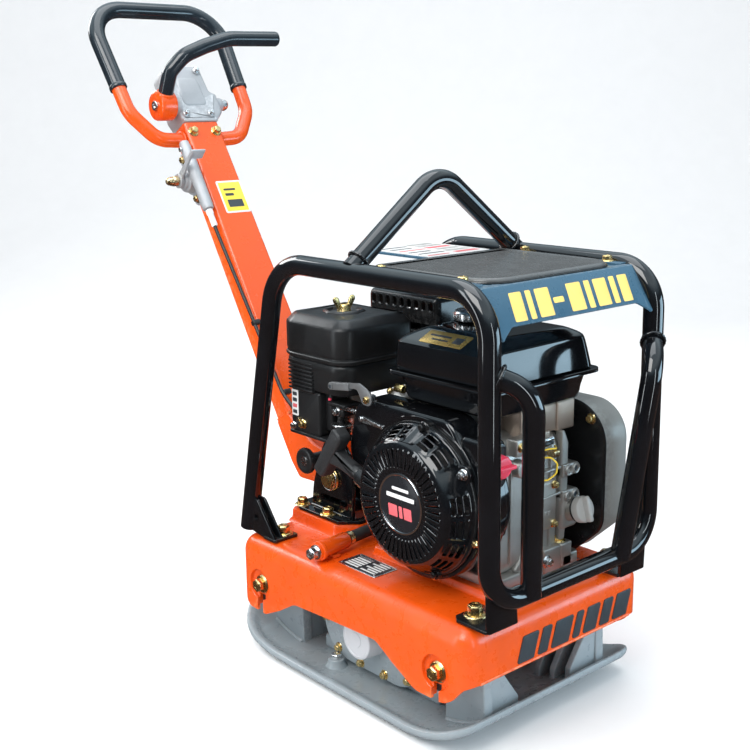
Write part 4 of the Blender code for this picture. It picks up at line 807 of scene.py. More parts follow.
def rubber_mount(name, s, y):
    """A waisted rubber block between two steel discs."""
    profile = [(.1166, 0), (.1166, .0286), (.117, .029), (.1184, .029)]
    for k in range(1, 12):
        t = k / 12
        profile.append((.1184 + .0364 * t, .029 - .004 * sin(pi * t) ** .6))
    profile += [(.1548, .029), (.1562, .029), (.1566, .0286), (.1566, 0)]
    parts = [turned(mirrored(profile, s), (0, y, MOUNT_Z), "x", RUBBER, 56)]
    for a in (.1172, .1552):
        disc = [(a + .0008, .015), (a + .0008, .0288), (a, .02935), (a - .0004, .0288),
                (a - .0004, .015)]
        parts.append(turned(mirrored(disc, s), (0, y, MOUNT_Z), "x", IRON, 56))
    ob = merge(name + "_visual", parts)
    ob.data.set_sharp_from_angle(angle=radians(38))
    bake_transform(ob)
    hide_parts(name)


def drive_belt():
    """The belt's lower arc wraps the plate's front eccentric shaft and its upper arc the engine's
    crankshaft.
    """
    low = Vector((-SHAFT_Y, SHAFT_Z))
    high = Vector((CRANK_Y, CRANK_Z))
    d = low - high
    heading = atan2(d.y, d.x)

    def loop(r_high, r_low, n=22):
        v = (r_high - r_low) / d.length
        wrap = atan2(sqrt(1 - v * v), v)
        out = []
        for k in range(n + 1):
            t = heading + wrap + (2 * pi - 2 * wrap) * k / n
            out.append((high.x + r_high * cos(t), high.y + r_high * sin(t)))
        for k in range(n + 1):
            t = heading - wrap + 2 * wrap * k / n
            out.append((low.x + r_low * cos(t), low.y + r_low * sin(t)))
        return out

    section = ((.0423, .0284, -.0032), (.0423, .0284, .0032),
               (.0318, .0179, .0026), (.0318, .0179, -.0026))   # upper radius, lower, x offset
    rows = [[(BELT_X + x, y, z) for y, z in loop(r_high, r_low)] for r_high, r_low, x in section]
    ob = merge("drive_belt_visual", [loft(rows, RUBBER, ring=True)])
    ob.data.set_sharp_from_angle(angle=radians(38))
    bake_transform(ob)
    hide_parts("drive_belt")


# ================================================================ orange lower housing
# (y, z) of the side walls' lower edge, closed well below; then the radius of each corner
SIDE_EDGE = [(.26, .15), (.2289, .14), (.2235, .078), (.205, .064), (.168, .062),
             (.135, .078), (.1, .099), (.02, .1035), (-.068, .107), (-.1, .088),
             (-.141, .067), (-.19, .068), (-.2044, .077), (-.218, .094), (-.2289, .099),
             (-.26, .099), (-.26, 0), (.26, 0)]
SIDE_EDGE_RADII = [0, .003, .016, .02, .02, .03, .03, .04, .02, .04, .03, .03, .02, .012,
                   .006, 0, 0, 0]


def housing_shell():
    shell = box(-BODY_HALF, BODY_HALF, BODY_FRONT, BODY_REAR, .03, BODY_TOP, ORANGE_CAST,
                r=.024, seg=7, which="topvert")
    t = BODY_T
    cut(shell, box(-BODY_HALF + t, BODY_HALF - t, BODY_FRONT + t, BODY_REAR - t, 0,
                   BODY_TOP - t, r=.02, seg=5, which="topvert"))
    cut(shell, flat(rounded(SIDE_EDGE, SIDE_EDGE_RADII, 5), -.2, .2, "x"))
    recess = [(.1617, 0), (.1617, .0213), (.1621, .0221), (.1629, .0225), (.1652, .0225),
              (.1664, .0229), (.1672, .0238), (.18, .0238), (.18, 0)]
    for s in SIDES:
        for y in MOUNTS_Y:
            add(shell, rod((s * .1569, y, MOUNT_Z), (s * .166, y, MOUNT_Z), .033, n=48))
            cut(shell, turned(mirrored(recess, s), (0, y, MOUNT_Z), "x", n=56))
            cut(shell, box(s * .155, s * .175, y - .0065, y + .0065, .03, MOUNT_Z - .015))
    # opening for the belt
    cut(shell, box(.112, .146, -.135, -.012, .15, .19, r=.004, seg=3, which="vert"))
    return shell


def data_plate():
    """Plate on the left shelf: frame, rows of plain bars, rivets."""
    x0, x1, y0, y1, z = -.134, -.092, -.0305, .0445, BODY_TOP
    parts = [slab(rect(x0, x1, y0, y1, .003, 4),
                  [(0, z - .001), (0, z + .0005), (.0003, z + .0008)], "z", SILVER_ZINC),
             slab(rect(x0 + .0022, x1 - .0022, y0 + .0022, y1 - .0022, .002, 3),
                  [(0, z), (0, z + .0009), (.0001, z + .001)], "z", PLATE_DARK)]
    for i in range(6):
        x = x1 - .0065 - i * .0056
        parts.append(box(x - .0015, x + .0015, y0 + .008, y0 + .008 + (.028 if i % 2 else .02),
                         z + .0009, z + .0012, WHITE, .0001, 1))
        parts.append(box(x - .0017, x + .0017, y0 + .041, y1 - .008, z + .0009, z + .0012,
                         WHITE if i else SILVER_ZINC, .0001, 1))
    rivet = [(z + .0005, 0), (z + .0005, .0017), (z + .0014, .0015), (z + .0019, .0008),
             (z + .002, 0)]
    for x in (x0 + .0045, x1 - .0045):
        for y in (y0 + .0045, y1 - .0045):
            parts.append(turned(rivet, (x, y, 0), "z", CHROME, 16))
    return parts


def housing():
    parts = [housing_shell()]
    # raised beds for the engine and for the handle stand
    z = BODY_TOP
    parts.append(slab(rect(-.078, .092, -.19, .038, .008),
                      [(-.004, z - .001), (-.0025, z + .0006), (-.0006, z + .003), (0, z + .006),
                       (.0004, .1778), (.0012, .1787), (.0026, .179)], "z", ORANGE_CAST))
    chamfer = .026
    bed = [(-.078 + chamfer, .092), (.078 - chamfer, .092), (.078, .092 + chamfer), (.078, .216),
           (.07, .2225), (-.07, .2225), (-.078, .216), (-.078, .092 + chamfer)]
    parts.append(slab(rounded(bed, [.012, .012, .012, .004, .004, .004, .004, .012]),
                      [(-.006, z - .001), (-.0035, z + .0008), (-.001, z + .0045), (0, z + .009),
                       (.0002, .1845), (.001, .1859), (.0026, .1865)], "z", ORANGE_CAST))
    for s in SIDES:
        for y in MOUNTS_Y:
            parts += bolt((s * .1615, y, MOUNT_Z), (s, 0, 0), .017, .0095, .014,
                          turn=8 + 30 * (s > 0), washer_t=.0028)
    parts += data_plate()
    # plain slanted bars in relief on the front wall
    x, y = -.08, BODY_FRONT
    for w in (.03, .018, .034, .014, .026, .02, .03):
        bar = rounded([(x, .103), (x + w, .103), (x + w + .0105, .137), (x + .0105, .137)],
                      .003, 4)
        parts.append(slab(bar, [(0, y + .001), (0, y - .0008), (.0003, y - .0012),
                                (.0009, y - .0014)], "y", CHARCOAL))
        x += w + .007
    # pressed lip along the bottom edges front and rear
    for y, z in ((BODY_FRONT + .002, .0992), (BODY_REAR - .0022, .1405)):
        parts.append(tube([(-.1425, y, z), (.1425, y, z)], .0026, ORANGE_CAST, 3))
    piece("housing_body", "upper", parts, "main_body", 30)


# ================================================================ belt guard
BELT_OUTLINE = arcs([((CRANK_Y - .071, .336), .05, 180, 90),
                     ((CRANK_Y + .06, .335), .051, 90, 0),
                     ((CRANK_Y + .085, .22), .035, 0, -70),
                     ((CRANK_Y - .045, .21), .038, -90, -130),
                     ((CRANK_Y - .09, .242), .031, -140, -180)], 14)


def belt_guard():
    """Hollow silver cover over the belt, on the right."""
    y, t = CRANK_Y, .003
    stations = [(.01, .1555), (.0055, .155), (t + .0008, .152), (t, .148), (t, .1037),
                (0, .1037), (0, .147)]
    for k in range(1, 8):
        a = pi / 2 * k / 7
        stations.append((.012 * (1 - cos(a)), .147 + .012 * sin(a)))
    shell = slab(BELT_OUTLINE, stations, "x", SILVER)
    cut(shell, box(.09, .155, -.13, -.015, .1, .2))
    parts = [shell, slab(BELT_OUTLINE, [(.0215, .1575), (.022, .1592), (.0232, .16),
                                        (.025, .1601)], "x", SILVER)]
    for cy, cz in ((y - .072, .34), (y + .066, .34), (y + .078, .218), (y - .08, .24)):
        parts.append(turned([(.1588, 0), (.1588, .0115), (.1608, .0105), (.1612, .009),
                             (.161, 0)], (0, cy, cz), "x", SILVER, 36))
        parts += bolt((.1605, cy, cz), RIGHT, .01, .0055, .008, turn=10, washer_t=.0012)
    # raised louvre lips
    for i in range(4):
        z = .262 + .014 * i
        parts.append(slab(rect(y - .03, y + .03, z, z + .0055, .0026, 5),
                          [(0, .1595), (0, .1608), (.001, .1618), (.0022, .162)], "x", SILVER))
    piece("belt_guard", "upper", parts, "belt_cover", 34)


def belt_back_plate():
    back = slab(BELT_OUTLINE, [(0, .1), (-.004, .1003), (-.005, .101), (-.005, .1024),
                               (-.0044, .1032), (0, .1033)], "x", BLACK_SATIN)
    cut(back, rod((.09, CRANK_Y, CRANK_Z), (.12, CRANK_Y, CRANK_Z), .066, n=56))
    cut(back, box(.09, .12, -.13, -.015, .1, .24))
    parts = [back, box(.0935, .103, -.175, -.135, .1697, .1745, BLACK_SATIN, .0012, 3)]
    for dy, z in ((-.106, .376), (-.02, .392), (.098, .384), (.109, .3)):
        parts += bolt((.1004, CRANK_Y + dy + .004, z - .006), LEFT, .0095, .005, .0075, turn=5)
    piece("belt_back_plate", "upper", parts, "belt_cover_back", 36)


# ================================================================ engine block
CYLINDER_M = Matrix.Translation(Vector(CRANK)) @ Matrix.Rotation(radians(25), 4, "X")


def cylinder_box(x0, x1, a0, a1, h0, h1, r, seg):
    """A block in the tilted cylinder's frame, a running out from the crankshaft."""
    return place(box(x0, x1, a0, a1, h0, h1, ALU, r, seg), CYLINDER_M)


def crankcase():
    case = rounded([(-.178, .188), (-.015, .188), (-.015, .37), (-.178, .37)],
                   [.022, .012, .02, .034], 9)
    parts = [board(case, -.06, .0478, "x", ALU, .008, .002)]
    rib = rounded([(-.181, .205), (-.16, .205), (-.16, .352), (-.181, .34)], .006, 4)
    for x in (-.04, -.016, .01, .034):
        parts.append(board(rib, x - .0022, x + .0022, "x", ALU, .0012, n=2))
    parts.append(board(rect(-.068, .0478, -.186, .03, .007, 5), .1793, .1935, "z", ALU,
                       .001, .003, 3))
    # foot lugs with their bolts
    lug = [(.1795, 0), (.1795, .0225), (.185, .0222), (.1955, .021), (.1985, .019),
           (.1992, .016), (.1992, 0)]
    for x, y in ((-.014, -.164), (-.05, .016)):
        parts.append(turned(lug, (x, y, 0), "z", ALU, 48))
        parts += bolt((x, y, .1992), UP, .014, .009, .0115, turn=20)
    web = rounded([(-.036, .193), (.008, .193), (.014, .225), (.006, .26), (-.003, .26),
                   (-.008, .23), (-.025, .206)], [.003, .004, .01, .004, .01, .02, .02])
    parts.append(board(web, -.182, -.165, "y", ALU, .003))
    parts.append(box(.016, .0477, -.188, -.16, .1796, .212, ALU, .0022, 3))
    parts += bolt((.0205, -.188, .196), FRONT, .01, .006, .0085, SILVER_ZINC, 15)
    # low-oil unit: bright cover, dark window, bolt, and the round boss below it
    parts += [box(-.045, -.015, -.192, -.174, .348, .37, ALU, .0025, 4),
              box(-.026, -.019, -.1926, -.19, .358, .366, INK, .0015, 3),
              *bolt((-.0375, -.192, .36), FRONT, .008, .004, .006),
              turned([(-.172, 0), (-.172, .012), (-.188, .0112), (-.1905, .0095),
                      (-.1908, .006), (-.189, .005), (-.189, 0)], (-.03, 0, .33), "y", ALU, 36)]
    # tappet cover
    parts.append(box(-.008, .043, -.184, -.17, .236, .302, ALU, .005, 4))
    for x in (-.001, .036):
        for z in (.243, .295):
            parts += bolt((x, -.184, z), FRONT, .0075, .0042, .0058, turn=9)
    for k in range(4):
        parts.append(box(.006 + .0065 * k, .01 + .0065 * k, -.1848, -.1836, .256, .262, ALU,
                         .0006, 2))
    # raised seam rails
    for z in (.312, .278):
        rail = rounded([(.005, z), (.0475, z + .002), (.0475, z + .0055), (.005, z + .0035)],
                       .0012, 3)
        parts.append(board(rail, -.177, -.186, "y", ALU, .001, n=2))
    # low tension leads: two yellow wires, two sleeves and a connector
    for wire in (((.004, -.183, .336), (.014, -.196, .338), (.023, -.199, .329),
                  (.024, -.197, .315), (.015, -.19, .306), (.006, -.184, .308)),
                 ((.002, -.183, .343), (.016, -.19, .347), (.033, -.189, .344),
                  (.04, -.18, .344))):
        parts.append(tube(bent(wire, .007, radians(10)), .0011, WIRE, 4))
    for z, mat in ((.352, SLEEVE), (.357, SILVER_ZINC)):
        parts.append(capped((.008, -.186, z), (.026, -.188, z + .002), .003, mat, n=20))
    parts.append(box(.024, .036, -.193, -.18, .334, .342, BRASS, .0012, 3))
    # cylinder with its cooling fins
    parts.append(cylinder_box(-.045, .044, .02, .105, -.048, .048, .008, 4))
    for k in range(6):
        a = .05 + .0095 * k
        parts.append(cylinder_box(-.052, .0476, a, a + .0024, -.056, .056, .0009, 2))
    # alloy brackets that carry the tank
    parts += [box(-.035, .03, -.04, -.015, .365, .398, ALU, .004, 4),
              box(-.02, .047, -.176, -.12, .362, .3986, ALU_TAN, .003, 4),
              box(-.02, .033, -.179, -.165, .344, .366, ALU_TAN, .003, 4)]
    piece("crankcase", "upper", parts, "engine_crankcase", 34)


def crankcase_cover():
    """Side cover on the right of the case."""
    outline = rounded([(-.174, .183), (-.018, .183), (-.018, .364), (-.174, .364)],
                      [.02, .02, .026, .03], 9)
    parts = [board(outline, .0483, .0535, "x", ALU, .0008, .0012, 2),
             # gasket
             slab(outline, [(.002, .0478), (-.0006, .048), (-.0006, .0484), (.002, .0486)],
                  "x", INK),
             slab(outline, [(.006, .0525), (.0045, .054), (.005, .058), (.0065, .0615),
                            (.011, .0634), (.02, .064), (.04, .0645)], "x", ALU),
             board(rect(.0483, .084, -.188, .03, .005, 4), .1793, .196, "z", ALU,
                   .001, .003, 3),
             box(.0483, .07, -.188, -.16, .1796, .212, ALU, .0022, 3)]
    for x, y, z in ((.0565, -.175, .212), (.068, .01, .1962)):
        parts += bolt((x, y, z), UP, .013, .008, .0105, turn=10)
    rim_bolts = ((-.166, .35), (-.166, .301), (-.166, .235), (-.15, .196), (-.098, .193),
                 (-.04, .196), (-.026, .25), (-.026, .315), (-.07, .356), (-.12, .356))
    for k, (y, z) in enumerate(rim_bolts):
        parts.append(turned([(.05, 0), (.05, .0078), (.0625, .0072), (.0642, .006),
                             (.0645, 0)], (0, y, z), "x", ALU, 24))
        parts += bolt((.064, y, z), RIGHT, .008, .0048, .0062, turn=7 * k)
    # tank bracket part that continues over the cover
    parts.append(box(.048, .083, -.176, -.12, .36, .3986, ALU_TAN, .003, 4))
    # two double lugs on the front edge, one over the other
    for z in (.309, .274):
        lug = rounded([(.05, z - .0088), (.0835, z - .0078), (.0835, z + .0078),
                       (.05, z + .0088)], [.002, .0075, .0075, .002], 7)
        parts.append(board(lug, -.17, -.1865, "y", ALU, .001, .0018, 3))
        for x in (.0605, .0745):
            parts.append(turned([(-.185, .0036), (-.185, .0074), (-.188, .007), (-.189, .0058),
                                 (-.1886, .0042), (-.1866, .0036)], (x, 0, z), "y", ALU, 28))
        parts.append(turned([(-.186, 0), (-.186, .0034), (-.1868, .0034), (-.1868, 0)],
                            (.0745, 0, z), "y", INK, 20))
    rim = rounded([(.05, .215), (.06, .215), (.064, .25), (.064, .345), (.056, .362),
                   (.05, .362)], .004, 5)
    parts += [board(rim, -.172, -.183, "y", ALU, .002, n=3),
              box(.0484, .083, -.187, -.16, .229, .276, ALU, .007, 5),
              # oil filler neck and its ring
              turned([(-.04, 0), (-.04, .015), (-.024, .0142), (-.0178, .0142),
                      (-.0166, .0134), (-.0166, 0)], OIL_CAP, OIL_DIR, ALU, 40),
              turned([(-.0163, .01), (-.0163, .0158), (-.0172, .0166), (-.019, .0166),
                      (-.02, .0158), (-.02, .01)], OIL_CAP, OIL_DIR, PLASTIC, 44)]
    # plug low on the front edge
    parts += bolt((.076, -.165, .196), UP, .0095, .006, .008, SILVER_ZINC, 15)
    # shaft seal
    parts.append(turned([(.066, .014), (.0672, .025), (.0668, .0285), (.064, .03),
                         (.064, .014)], CRANK, "x", ALU, 48))
    piece("crankcase_cover", "upper", parts, "crankcase_side_cover", 34)


def cylinder_head():
    parts = [cylinder_box(-.048, .044, .1053, .133, -.05, .05, .004, 4),
             cylinder_box(-.04, .036, .13, .162, -.042, .042, .009, 5)]
    for k in range(3):
        a = .1085 + .008 * k
        parts.append(cylinder_box(-.053, .049, a, a + .0024, -.056, .056, .0009, 2))
    for x in (-.032, .028):
        for h in (-.034, .034):
            for ob in bolt((x, .162, h), REAR, .009, .0055, .007, turn=10):
                parts.append(place(ob, CYLINDER_M))
    # spark plug cap
    parts.append(place(turned([(.126, 0), (.126, .009), (.15, .0085), (.158, .007), (.16, 0)],
                              (-.044, 0, 0), "y", RUBBER, 24), CYLINDER_M))
    piece("head", "upper", parts, "cylinder_head", 34)


# ================================================================ shroud, starter, switch
LUG_ANGLES = (148, 97, 250, 320)   # screws round the recoil cover, degrees from +Y to +Z
EAR_ANGLE = 148


def crank_point(r, t):
    """(y, z) at a radius and angle about the crankshaft."""
    return CRANK_Y + r * cos(t), CRANK_Z + r * sin(t)


def shroud():
    y, z = CRANK_Y, CRANK_Z
    mouth = arcs([((y, z), .105, 130, 270)], 32)
    tail = [(y + .06, z - .096), (y + .113, z - .04), (y + .143, z + .035), (y + .127, z + .094),
            (y + .108, z + .108), (y - .05, z + .108)]
    tail = rounded([mouth[-1], *tail, mouth[0]], [0, .04, .05, .05, .02, .016, .03, 0], 8)
    shell = board(mouth + tail[1:-1], -.103, -.0608, "x", BLACK, .006, .001)
    cut(shell, rod((-.12, y, z), (-.0735, y, z), .096, n=72))
    cut(shell, rod((-.08, y, z), (-.05, y, z), .05, n=56))
    sx, sz = SWITCH_X, SWITCH_Z
    parts = [shell,
             # lip round the mouth
             turned([(-.1028, .0962), (-.1028, .1035), (-.1036, .1046), (-.1044, .104),
                     (-.1044, .1), (-.1036, .099)], CRANK, "x", BLACK, 96),
             # switch box with a raised face towards the front
             box(-.101, -.071, -.1998, -.15, sz - .03, sz + .03, BLACK, .007, 5),
             slab(rect(sx - .0135, sx + .013, sz - .025, sz + .025, .006),
                  [(0, -.199), (0, -.2001), (.0008, -.2006), (.0022, -.2006), (.003, -.2)],
                  "y", PLASTIC),
             *bolt((sx, -.2002, sz - .0205), FRONT, .005, .0025, mat=SILVER_ZINC)]
    for degrees in (200, 255):
        parts += bolt((-.103, *crank_point(.1005, radians(degrees))), LEFT, .0075, .004, .0055,
                      turn=degrees)
    # rolled skirt that reaches back over the case
    skirt = arcs([((y, z), .099, 152, 248), ((y, z), .0945, 248, 152)], 24)
    parts.append(board(skirt, -.064, -.048, "x", BLACK, .0014, n=3))
    # small bright lever on the flank
    ay, az, by, bz = y + .112, z + .08, y + .072, z + .0765
    lever = rounded([(ay, az + .0045), (by, bz + .002), (by, bz - .002), (ay, az - .0045)],
                    [.003, .0016, .0016, .003], 5)
    parts += [board(lever, -.1036, -.1056, "x", SILVER_ZINC, .0005, n=2),
              turned([(-.103, 0), (-.103, .004), (-.1066, .0038), (-.1072, .003), (-.1074, 0)],
                     (0, ay, az), "x", SILVER_ZINC, 24),
              turned([(-.103, 0), (-.103, .0026), (-.1062, .0024), (-.1066, 0)],
                     (0, by, bz), "x", SILVER_ZINC, 20)]
    piece("shroud_body", "upper", parts, "fan_shroud", 34)


def recoil_dish():
    """Slotted dish: rays of slots in its face and three rows round its flank."""
    n = 144
    stations = [   # x, radius
        (-.1385, .0375), (-.1398, .039), (-.14, .0412), (-.14, .044), (-.14, .0462),
        (-.14, .053), (-.14, .06), (-.14, .067), (-.14, .0712), (-.1399, .0735),
        (-.1392, .0765), (-.137, .0788), (-.1345, .0802)]
    for u in (.1, .28, .4, .58, .7, .88, 1):
        stations.append((-.1345 + .0245 * u, .0802 + .0143 * u))
    stations += [(-.1088, .0965), (-.1084, .0985)]

    def near(k, degrees, width):
        return abs((360 * (k + .5) / n - degrees + 180) % 360 - 180) < width

    def is_hole(i, k):
        if 4 <= i <= 7:
            return k % 3 == 1 and not near(k, 4, 7)
        if i in (13, 15, 17):
            if any(near(k, a, 9) for a in LUG_ANGLES) or near(k, 4, 17):
                return False
            return k % 8 not in (0, 7)
        return False

    bm = bmesh.new()
    rows = [[bm.verts.new((a, *crank_point(r, 2 * pi * k / n))) for k in range(n)]
            for a, r in stations]
    for i, (p, q) in enumerate(zip(rows[:-1], rows[1:])):
        for k in range(n):
            if not is_hole(i, k):
                j = (k + 1) % n
                bm.faces.new((p[k], q[k], q[j], p[j]))
    for v in [v for v in bm.verts if not v.link_faces]:
        bm.verts.remove(v)
    # every opening has a raised lip
    lips = {v for e in bm.edges if len(e.link_faces) == 1 for v in e.verts}
    for v in lips:
        spoke = Vector((0, v.co.y - CRANK_Y, v.co.z - CRANK_Z))
        if .045 < spoke.length < .072:
            v.co.x -= .0016
        elif .079 < spoke.length < .0935:
            out = spoke.normalized()
            v.co += Vector((-.0009, out.y * .0012, out.z * .0012))
    dish = from_bm(bm, BLACK)
    # the surface turns outwards so that the wall grows towards the inside
    bm = bmesh.new()
    bm.from_mesh(dish.data)
    face = max(bm.faces, key=lambda f: f.calc_area() if abs(f.normal.x) > .9 else 0)
    if face.normal.x > 0:
        bmesh.ops.reverse_faces(bm, faces=bm.faces)
    bm.to_mesh(dish.data)
    bm.free()
    wall = dish.modifiers.new("s", "SOLIDIFY")
    wall.thickness = .0022
    wall.offset = -1
    wall.use_even_offset = True
    smooth = dish.modifiers.new("u", "SUBSURF")
    smooth.levels = smooth.render_levels = 1
    smooth.boundary_smooth = "ALL"
    return bake(dish)


def recoil_cover():
    y, z = CRANK_Y, CRANK_Z
    parts = [recoil_dish()]
    # bracket ear round the front screw
    t = radians(EAR_ANGLE)
    ear = [crank_point(.083, t + w) for w in (-.24, -.12, 0, .12, .24)]
    ear += [crank_point(.106, t + .07), crank_point(.106, t - .07)]
    ear = rounded(ear, [.003, 0, 0, 0, .003, .008, .008])
    parts += [board(ear, -.104, -.112, "x", BLACK, .0012, .0022),
              # rim, centre disc and its bright ring
              turned([(-.1036, .0935), (-.1036, .0985), (-.1042, .0992), (-.108, .0992),
                      (-.109, .0984), (-.108, .095), (-.1072, .0935)], CRANK, "x",
                     BLACK_SATIN, 128),
              turned([(-.1375, 0), (-.1375, .038), (-.1392, .0378), (-.1397, .0368),
                      (-.1397, 0)], CRANK, "x", PLATE_DARK, 96),
              turned([(-.139, .036), (-.139, .0392), (-.1402, .039), (-.1406, .038),
                      (-.1406, .037), (-.14, .0362)], CRANK, "x", CHROME, 96)]
    # plain marks on the disc: two white bars and three slanted red ones
    for h0, h1, w in ((.0165, .0205, .03), (.006, .0115, .05)):
        parts.append(slab(rect(y - w / 2, y + w / 2, z + h0, z + h1, .0012, 3),
                          [(0, -.1395), (0, -.1399), (.0002, -.14)], "x", WHITE))
    for w, shift in ((.014, 0), (.006, .0165), (.016, .0255)):
        y0 = y - .0215 + shift
        mark = rounded([(y0, z - .018), (y0 + w, z - .018), (y0 + w + .002, z - .003),
                        (y0 + .002, z - .003)], .0012, 3)
        parts.append(slab(mark, [(0, -.1395), (0, -.14), (.0002, -.1401)], "x", RED_INK))
    # lugs with screws
    for degrees in LUG_ANGLES:
        t = radians(degrees)
        iy, iz = crank_point(.08, t)
        oy, oz = crank_point(.102, t)
        py, pz = -sin(t) * .0088, cos(t) * .0088
        lug = rounded([(iy + py, iz + pz), (iy - py, iz - pz), (oy - py, oz - pz),
                       (oy + py, oz + pz)], [.001, .001, .006, .006])
        parts.append(board(lug, -.1036, -.1105, "x", BLACK_SATIN, .0006, .0018, 3))
        on_ear = degrees == EAR_ANGLE
        parts += bolt((-.112 if on_ear else -.1105, *crank_point(.096, t)), LEFT,
                      .01 if on_ear else .0085, .005, .0072,
                      SILVER_ZINC if on_ear else BLACK_SATIN, degrees)
    # rope guide nose and its eye
    parts += [turned([(-.09, .0052), (-.09, .015), (-.08, .0142), (-.066, .0128),
                      (-.061, .0124), (-.06, .0112), (-.06, .0068), (-.0615, .0052)],
                     GRIP, ROPE, BLACK_SATIN, 48),
              turned([(-.0596, .005), (-.0592, .0066), (-.0598, .0075), (-.064, .0075),
                      (-.064, .005)], GRIP, ROPE, CHROME, 40)]
    piece("starter_cover", "upper", parts, "recoil_cover", 40)


ROPE_NORMAL = Vector((0, -ROPE.z, ROPE.y))


def pull_grip():
    """T grip: a stem along the rope and a bar across it."""
    def stem_point(a, b):
        return (GRIP + ROPE * a + ROPE_NORMAL * b).yz

    bar_dir = Vector((0, -.55, .8352))
    bar_normal = Vector((0, -bar_dir.z, bar_dir.y))

    def bar_point(a, b):
        return (GRIP + bar_normal * a + bar_dir * b).yz

    stem = [stem_point(a, b) for a, b in (
        (-.059, -.0075), (-.059, .0075), (-.03, .0085), (-.008, .0125), (0, .0125),
        (0, -.0125), (-.008, -.0125), (-.03, -.0085))]
    stem = rounded(stem, [.003, .003, .012, .006, .002, .002, .006, .012], 8)
    parts = [board(stem, GRIP.x - .0092, GRIP.x + .0092, "x", PLASTIC_ROUGH, .0048, n=6)]
    bar = [bar_point(a, b) for a, b in (
        (-.0105, .04), (.0115, .0385), (.0115, -.0385), (-.0105, -.04))]
    parts.append(board(rounded(bar, [.006, .008, .008, .006], 8), GRIP.x - .0108,
                       GRIP.x + .0108, "x", PLASTIC_ROUGH, .004, n=6))
    panel = [bar_point(a, b) for a, b in (
        (-.006, .034), (.007, .033), (.007, -.033), (-.006, -.034))]
    for s in SIDES:
        parts.append(slab(rounded(panel, .0045), [(0, GRIP.x + s * .01),
                                                  (.0004, GRIP.x + s * .011),
                                                  (.0014, GRIP.x + s * .0114)],
                          "x", PLASTIC_ROUGH))
    parts.append(turned([(-.0595, 0), (-.0595, .0088), (-.057, .0098), (-.048, .0098),
                         (-.046, .009), (-.044, 0)], GRIP, ROPE, PLASTIC, 40))
    piece("pull_grip", "grip", parts, "starter_grip", 40)


def starter_rope():
    """A straight strand with a second one wound round it."""
    core = tube([GRIP - ROPE * (.087 - .035 * k / 12) for k in range(13)], .003, RUBBER, 4)
    strand = []
    for k in range(49):
        t = k / 48
        p = GRIP - ROPE * (.0865 - .0345 * t)
        strand.append(p + Vector((1, 0, 0)) * (.0017 * cos(t * 22))
                      + ROPE_NORMAL * (.0017 * sin(t * 22)))
    rope = merge("starter_rope", [core, tube(strand, .0019, PLASTIC, 3)])
    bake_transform(rope)


def switch_knob():
    sx, sz = SWITCH_X, SWITCH_Z
    parts = [turned([(-.2004, 0), (-.2004, .0142), (-.2035, .0144), (-.2085, .0136),
                     (-.2108, .012), (-.2114, .0095), (-.2114, 0)], (sx, 0, sz), "y", RED, 48)]
    for k in range(14):
        t = 2 * pi * k / 14
        parts.append(capped((sx + .0136 * cos(t), -.201, sz + .0136 * sin(t)),
                            (sx + .0129 * cos(t), -.2082, sz + .0129 * sin(t)), .0013, RED,
                            n=10))
    bar = rounded([(sx - .0125, sz - .003), (sx + .015, sz - .0022), (sx + .015, sz + .0022),
                   (sx - .0125, sz + .003)], .0018, 5)
    parts.append(board(bar, -.208, -.217, "y", RED, .0005, .0018))
    piece("engine_switch_knob", "switch", parts, "engine_switch", 38)


# ================================================================ tank
def tank_top():
    """Upper shell with unequal slopes on its four walls."""
    x0, x1, y0, y1 = -.0865, .107, -.189, -.013
    # height, then how far the left, right, front and rear walls have come in
    sections = [
        (.4365, .004, .004, .004, .004), (.438, .0012, .0012, .0012, .0012),
        (.44, 0, 0, 0, 0), (.45, .0002, .003, .0006, .0004),
        (.46, .0005, .0062, .0012, .001), (.469, .001, .0092, .0018, .0018),
        (.474, .0022, .011, .0022, .0028), (.4765, .005, .0121, .0025, .0042),
        (.479, .0098, .0134, .0029, .0065), (.4812, .0145, .015, .0038, .009),
        (.4832, .0188, .0172, .0058, .0118), (.485, .0228, .02, .0086, .0146),
        (.487, .0275, .0238, .0124, .0182), (.489, .0325, .028, .0166, .0222),
        (.4904, .0362, .0312, .0202, .0256), (.4912, .041, .035, .0244, .0296),
        (.4915, .046, .04, .0296, .035), (.4915, .06, .052, .042, .048)]
    outline = rect(x0, x1, y0, y1, .016, 12)
    rows = []
    for z, left, right, front, rear in sections:
        rows.append([(x0 + left + (x - x0) / (x1 - x0) * (x1 - x0 - left - right),
                      y0 + front + (y - y0) / (y1 - y0) * (y1 - y0 - front - rear), z)
                     for x, y in outline])
    return loft(rows, BLACK)


def tank_label():
    """Gold label with darker bars, lying on the tank's left slope."""
    low, high = Vector((-.08, 0, .4768)), Vector((-.054, 0, .489))
    up = (high - low).normalized()
    out = Vector((-up.z, 0, up.x))
    m = Matrix(((0, up.x, out.x, low.x), (-1, 0, 0, 0), (0, up.z, out.z, low.z), (0, 0, 0, 1)))
    parts = [slab(rect(.056, .13, .0015, .0275, .003, 4), [(0, -.002), (0, .0009), (.0002, .001)],
                  "z", GOLD_FOIL)]
    for x0, x1, y0, y1 in ((.108, .122, .0085, .0205), (.064, .1, .0165, .02),
                           (.072, .1, .009, .0118)):
        parts.append(slab(rect(x0, x1, y0, y1, .001, 3), [(0, .0008), (0, .00125), (.0001, .0013)],
                          "z", INK))
    return [place(ob, m) for ob in parts]


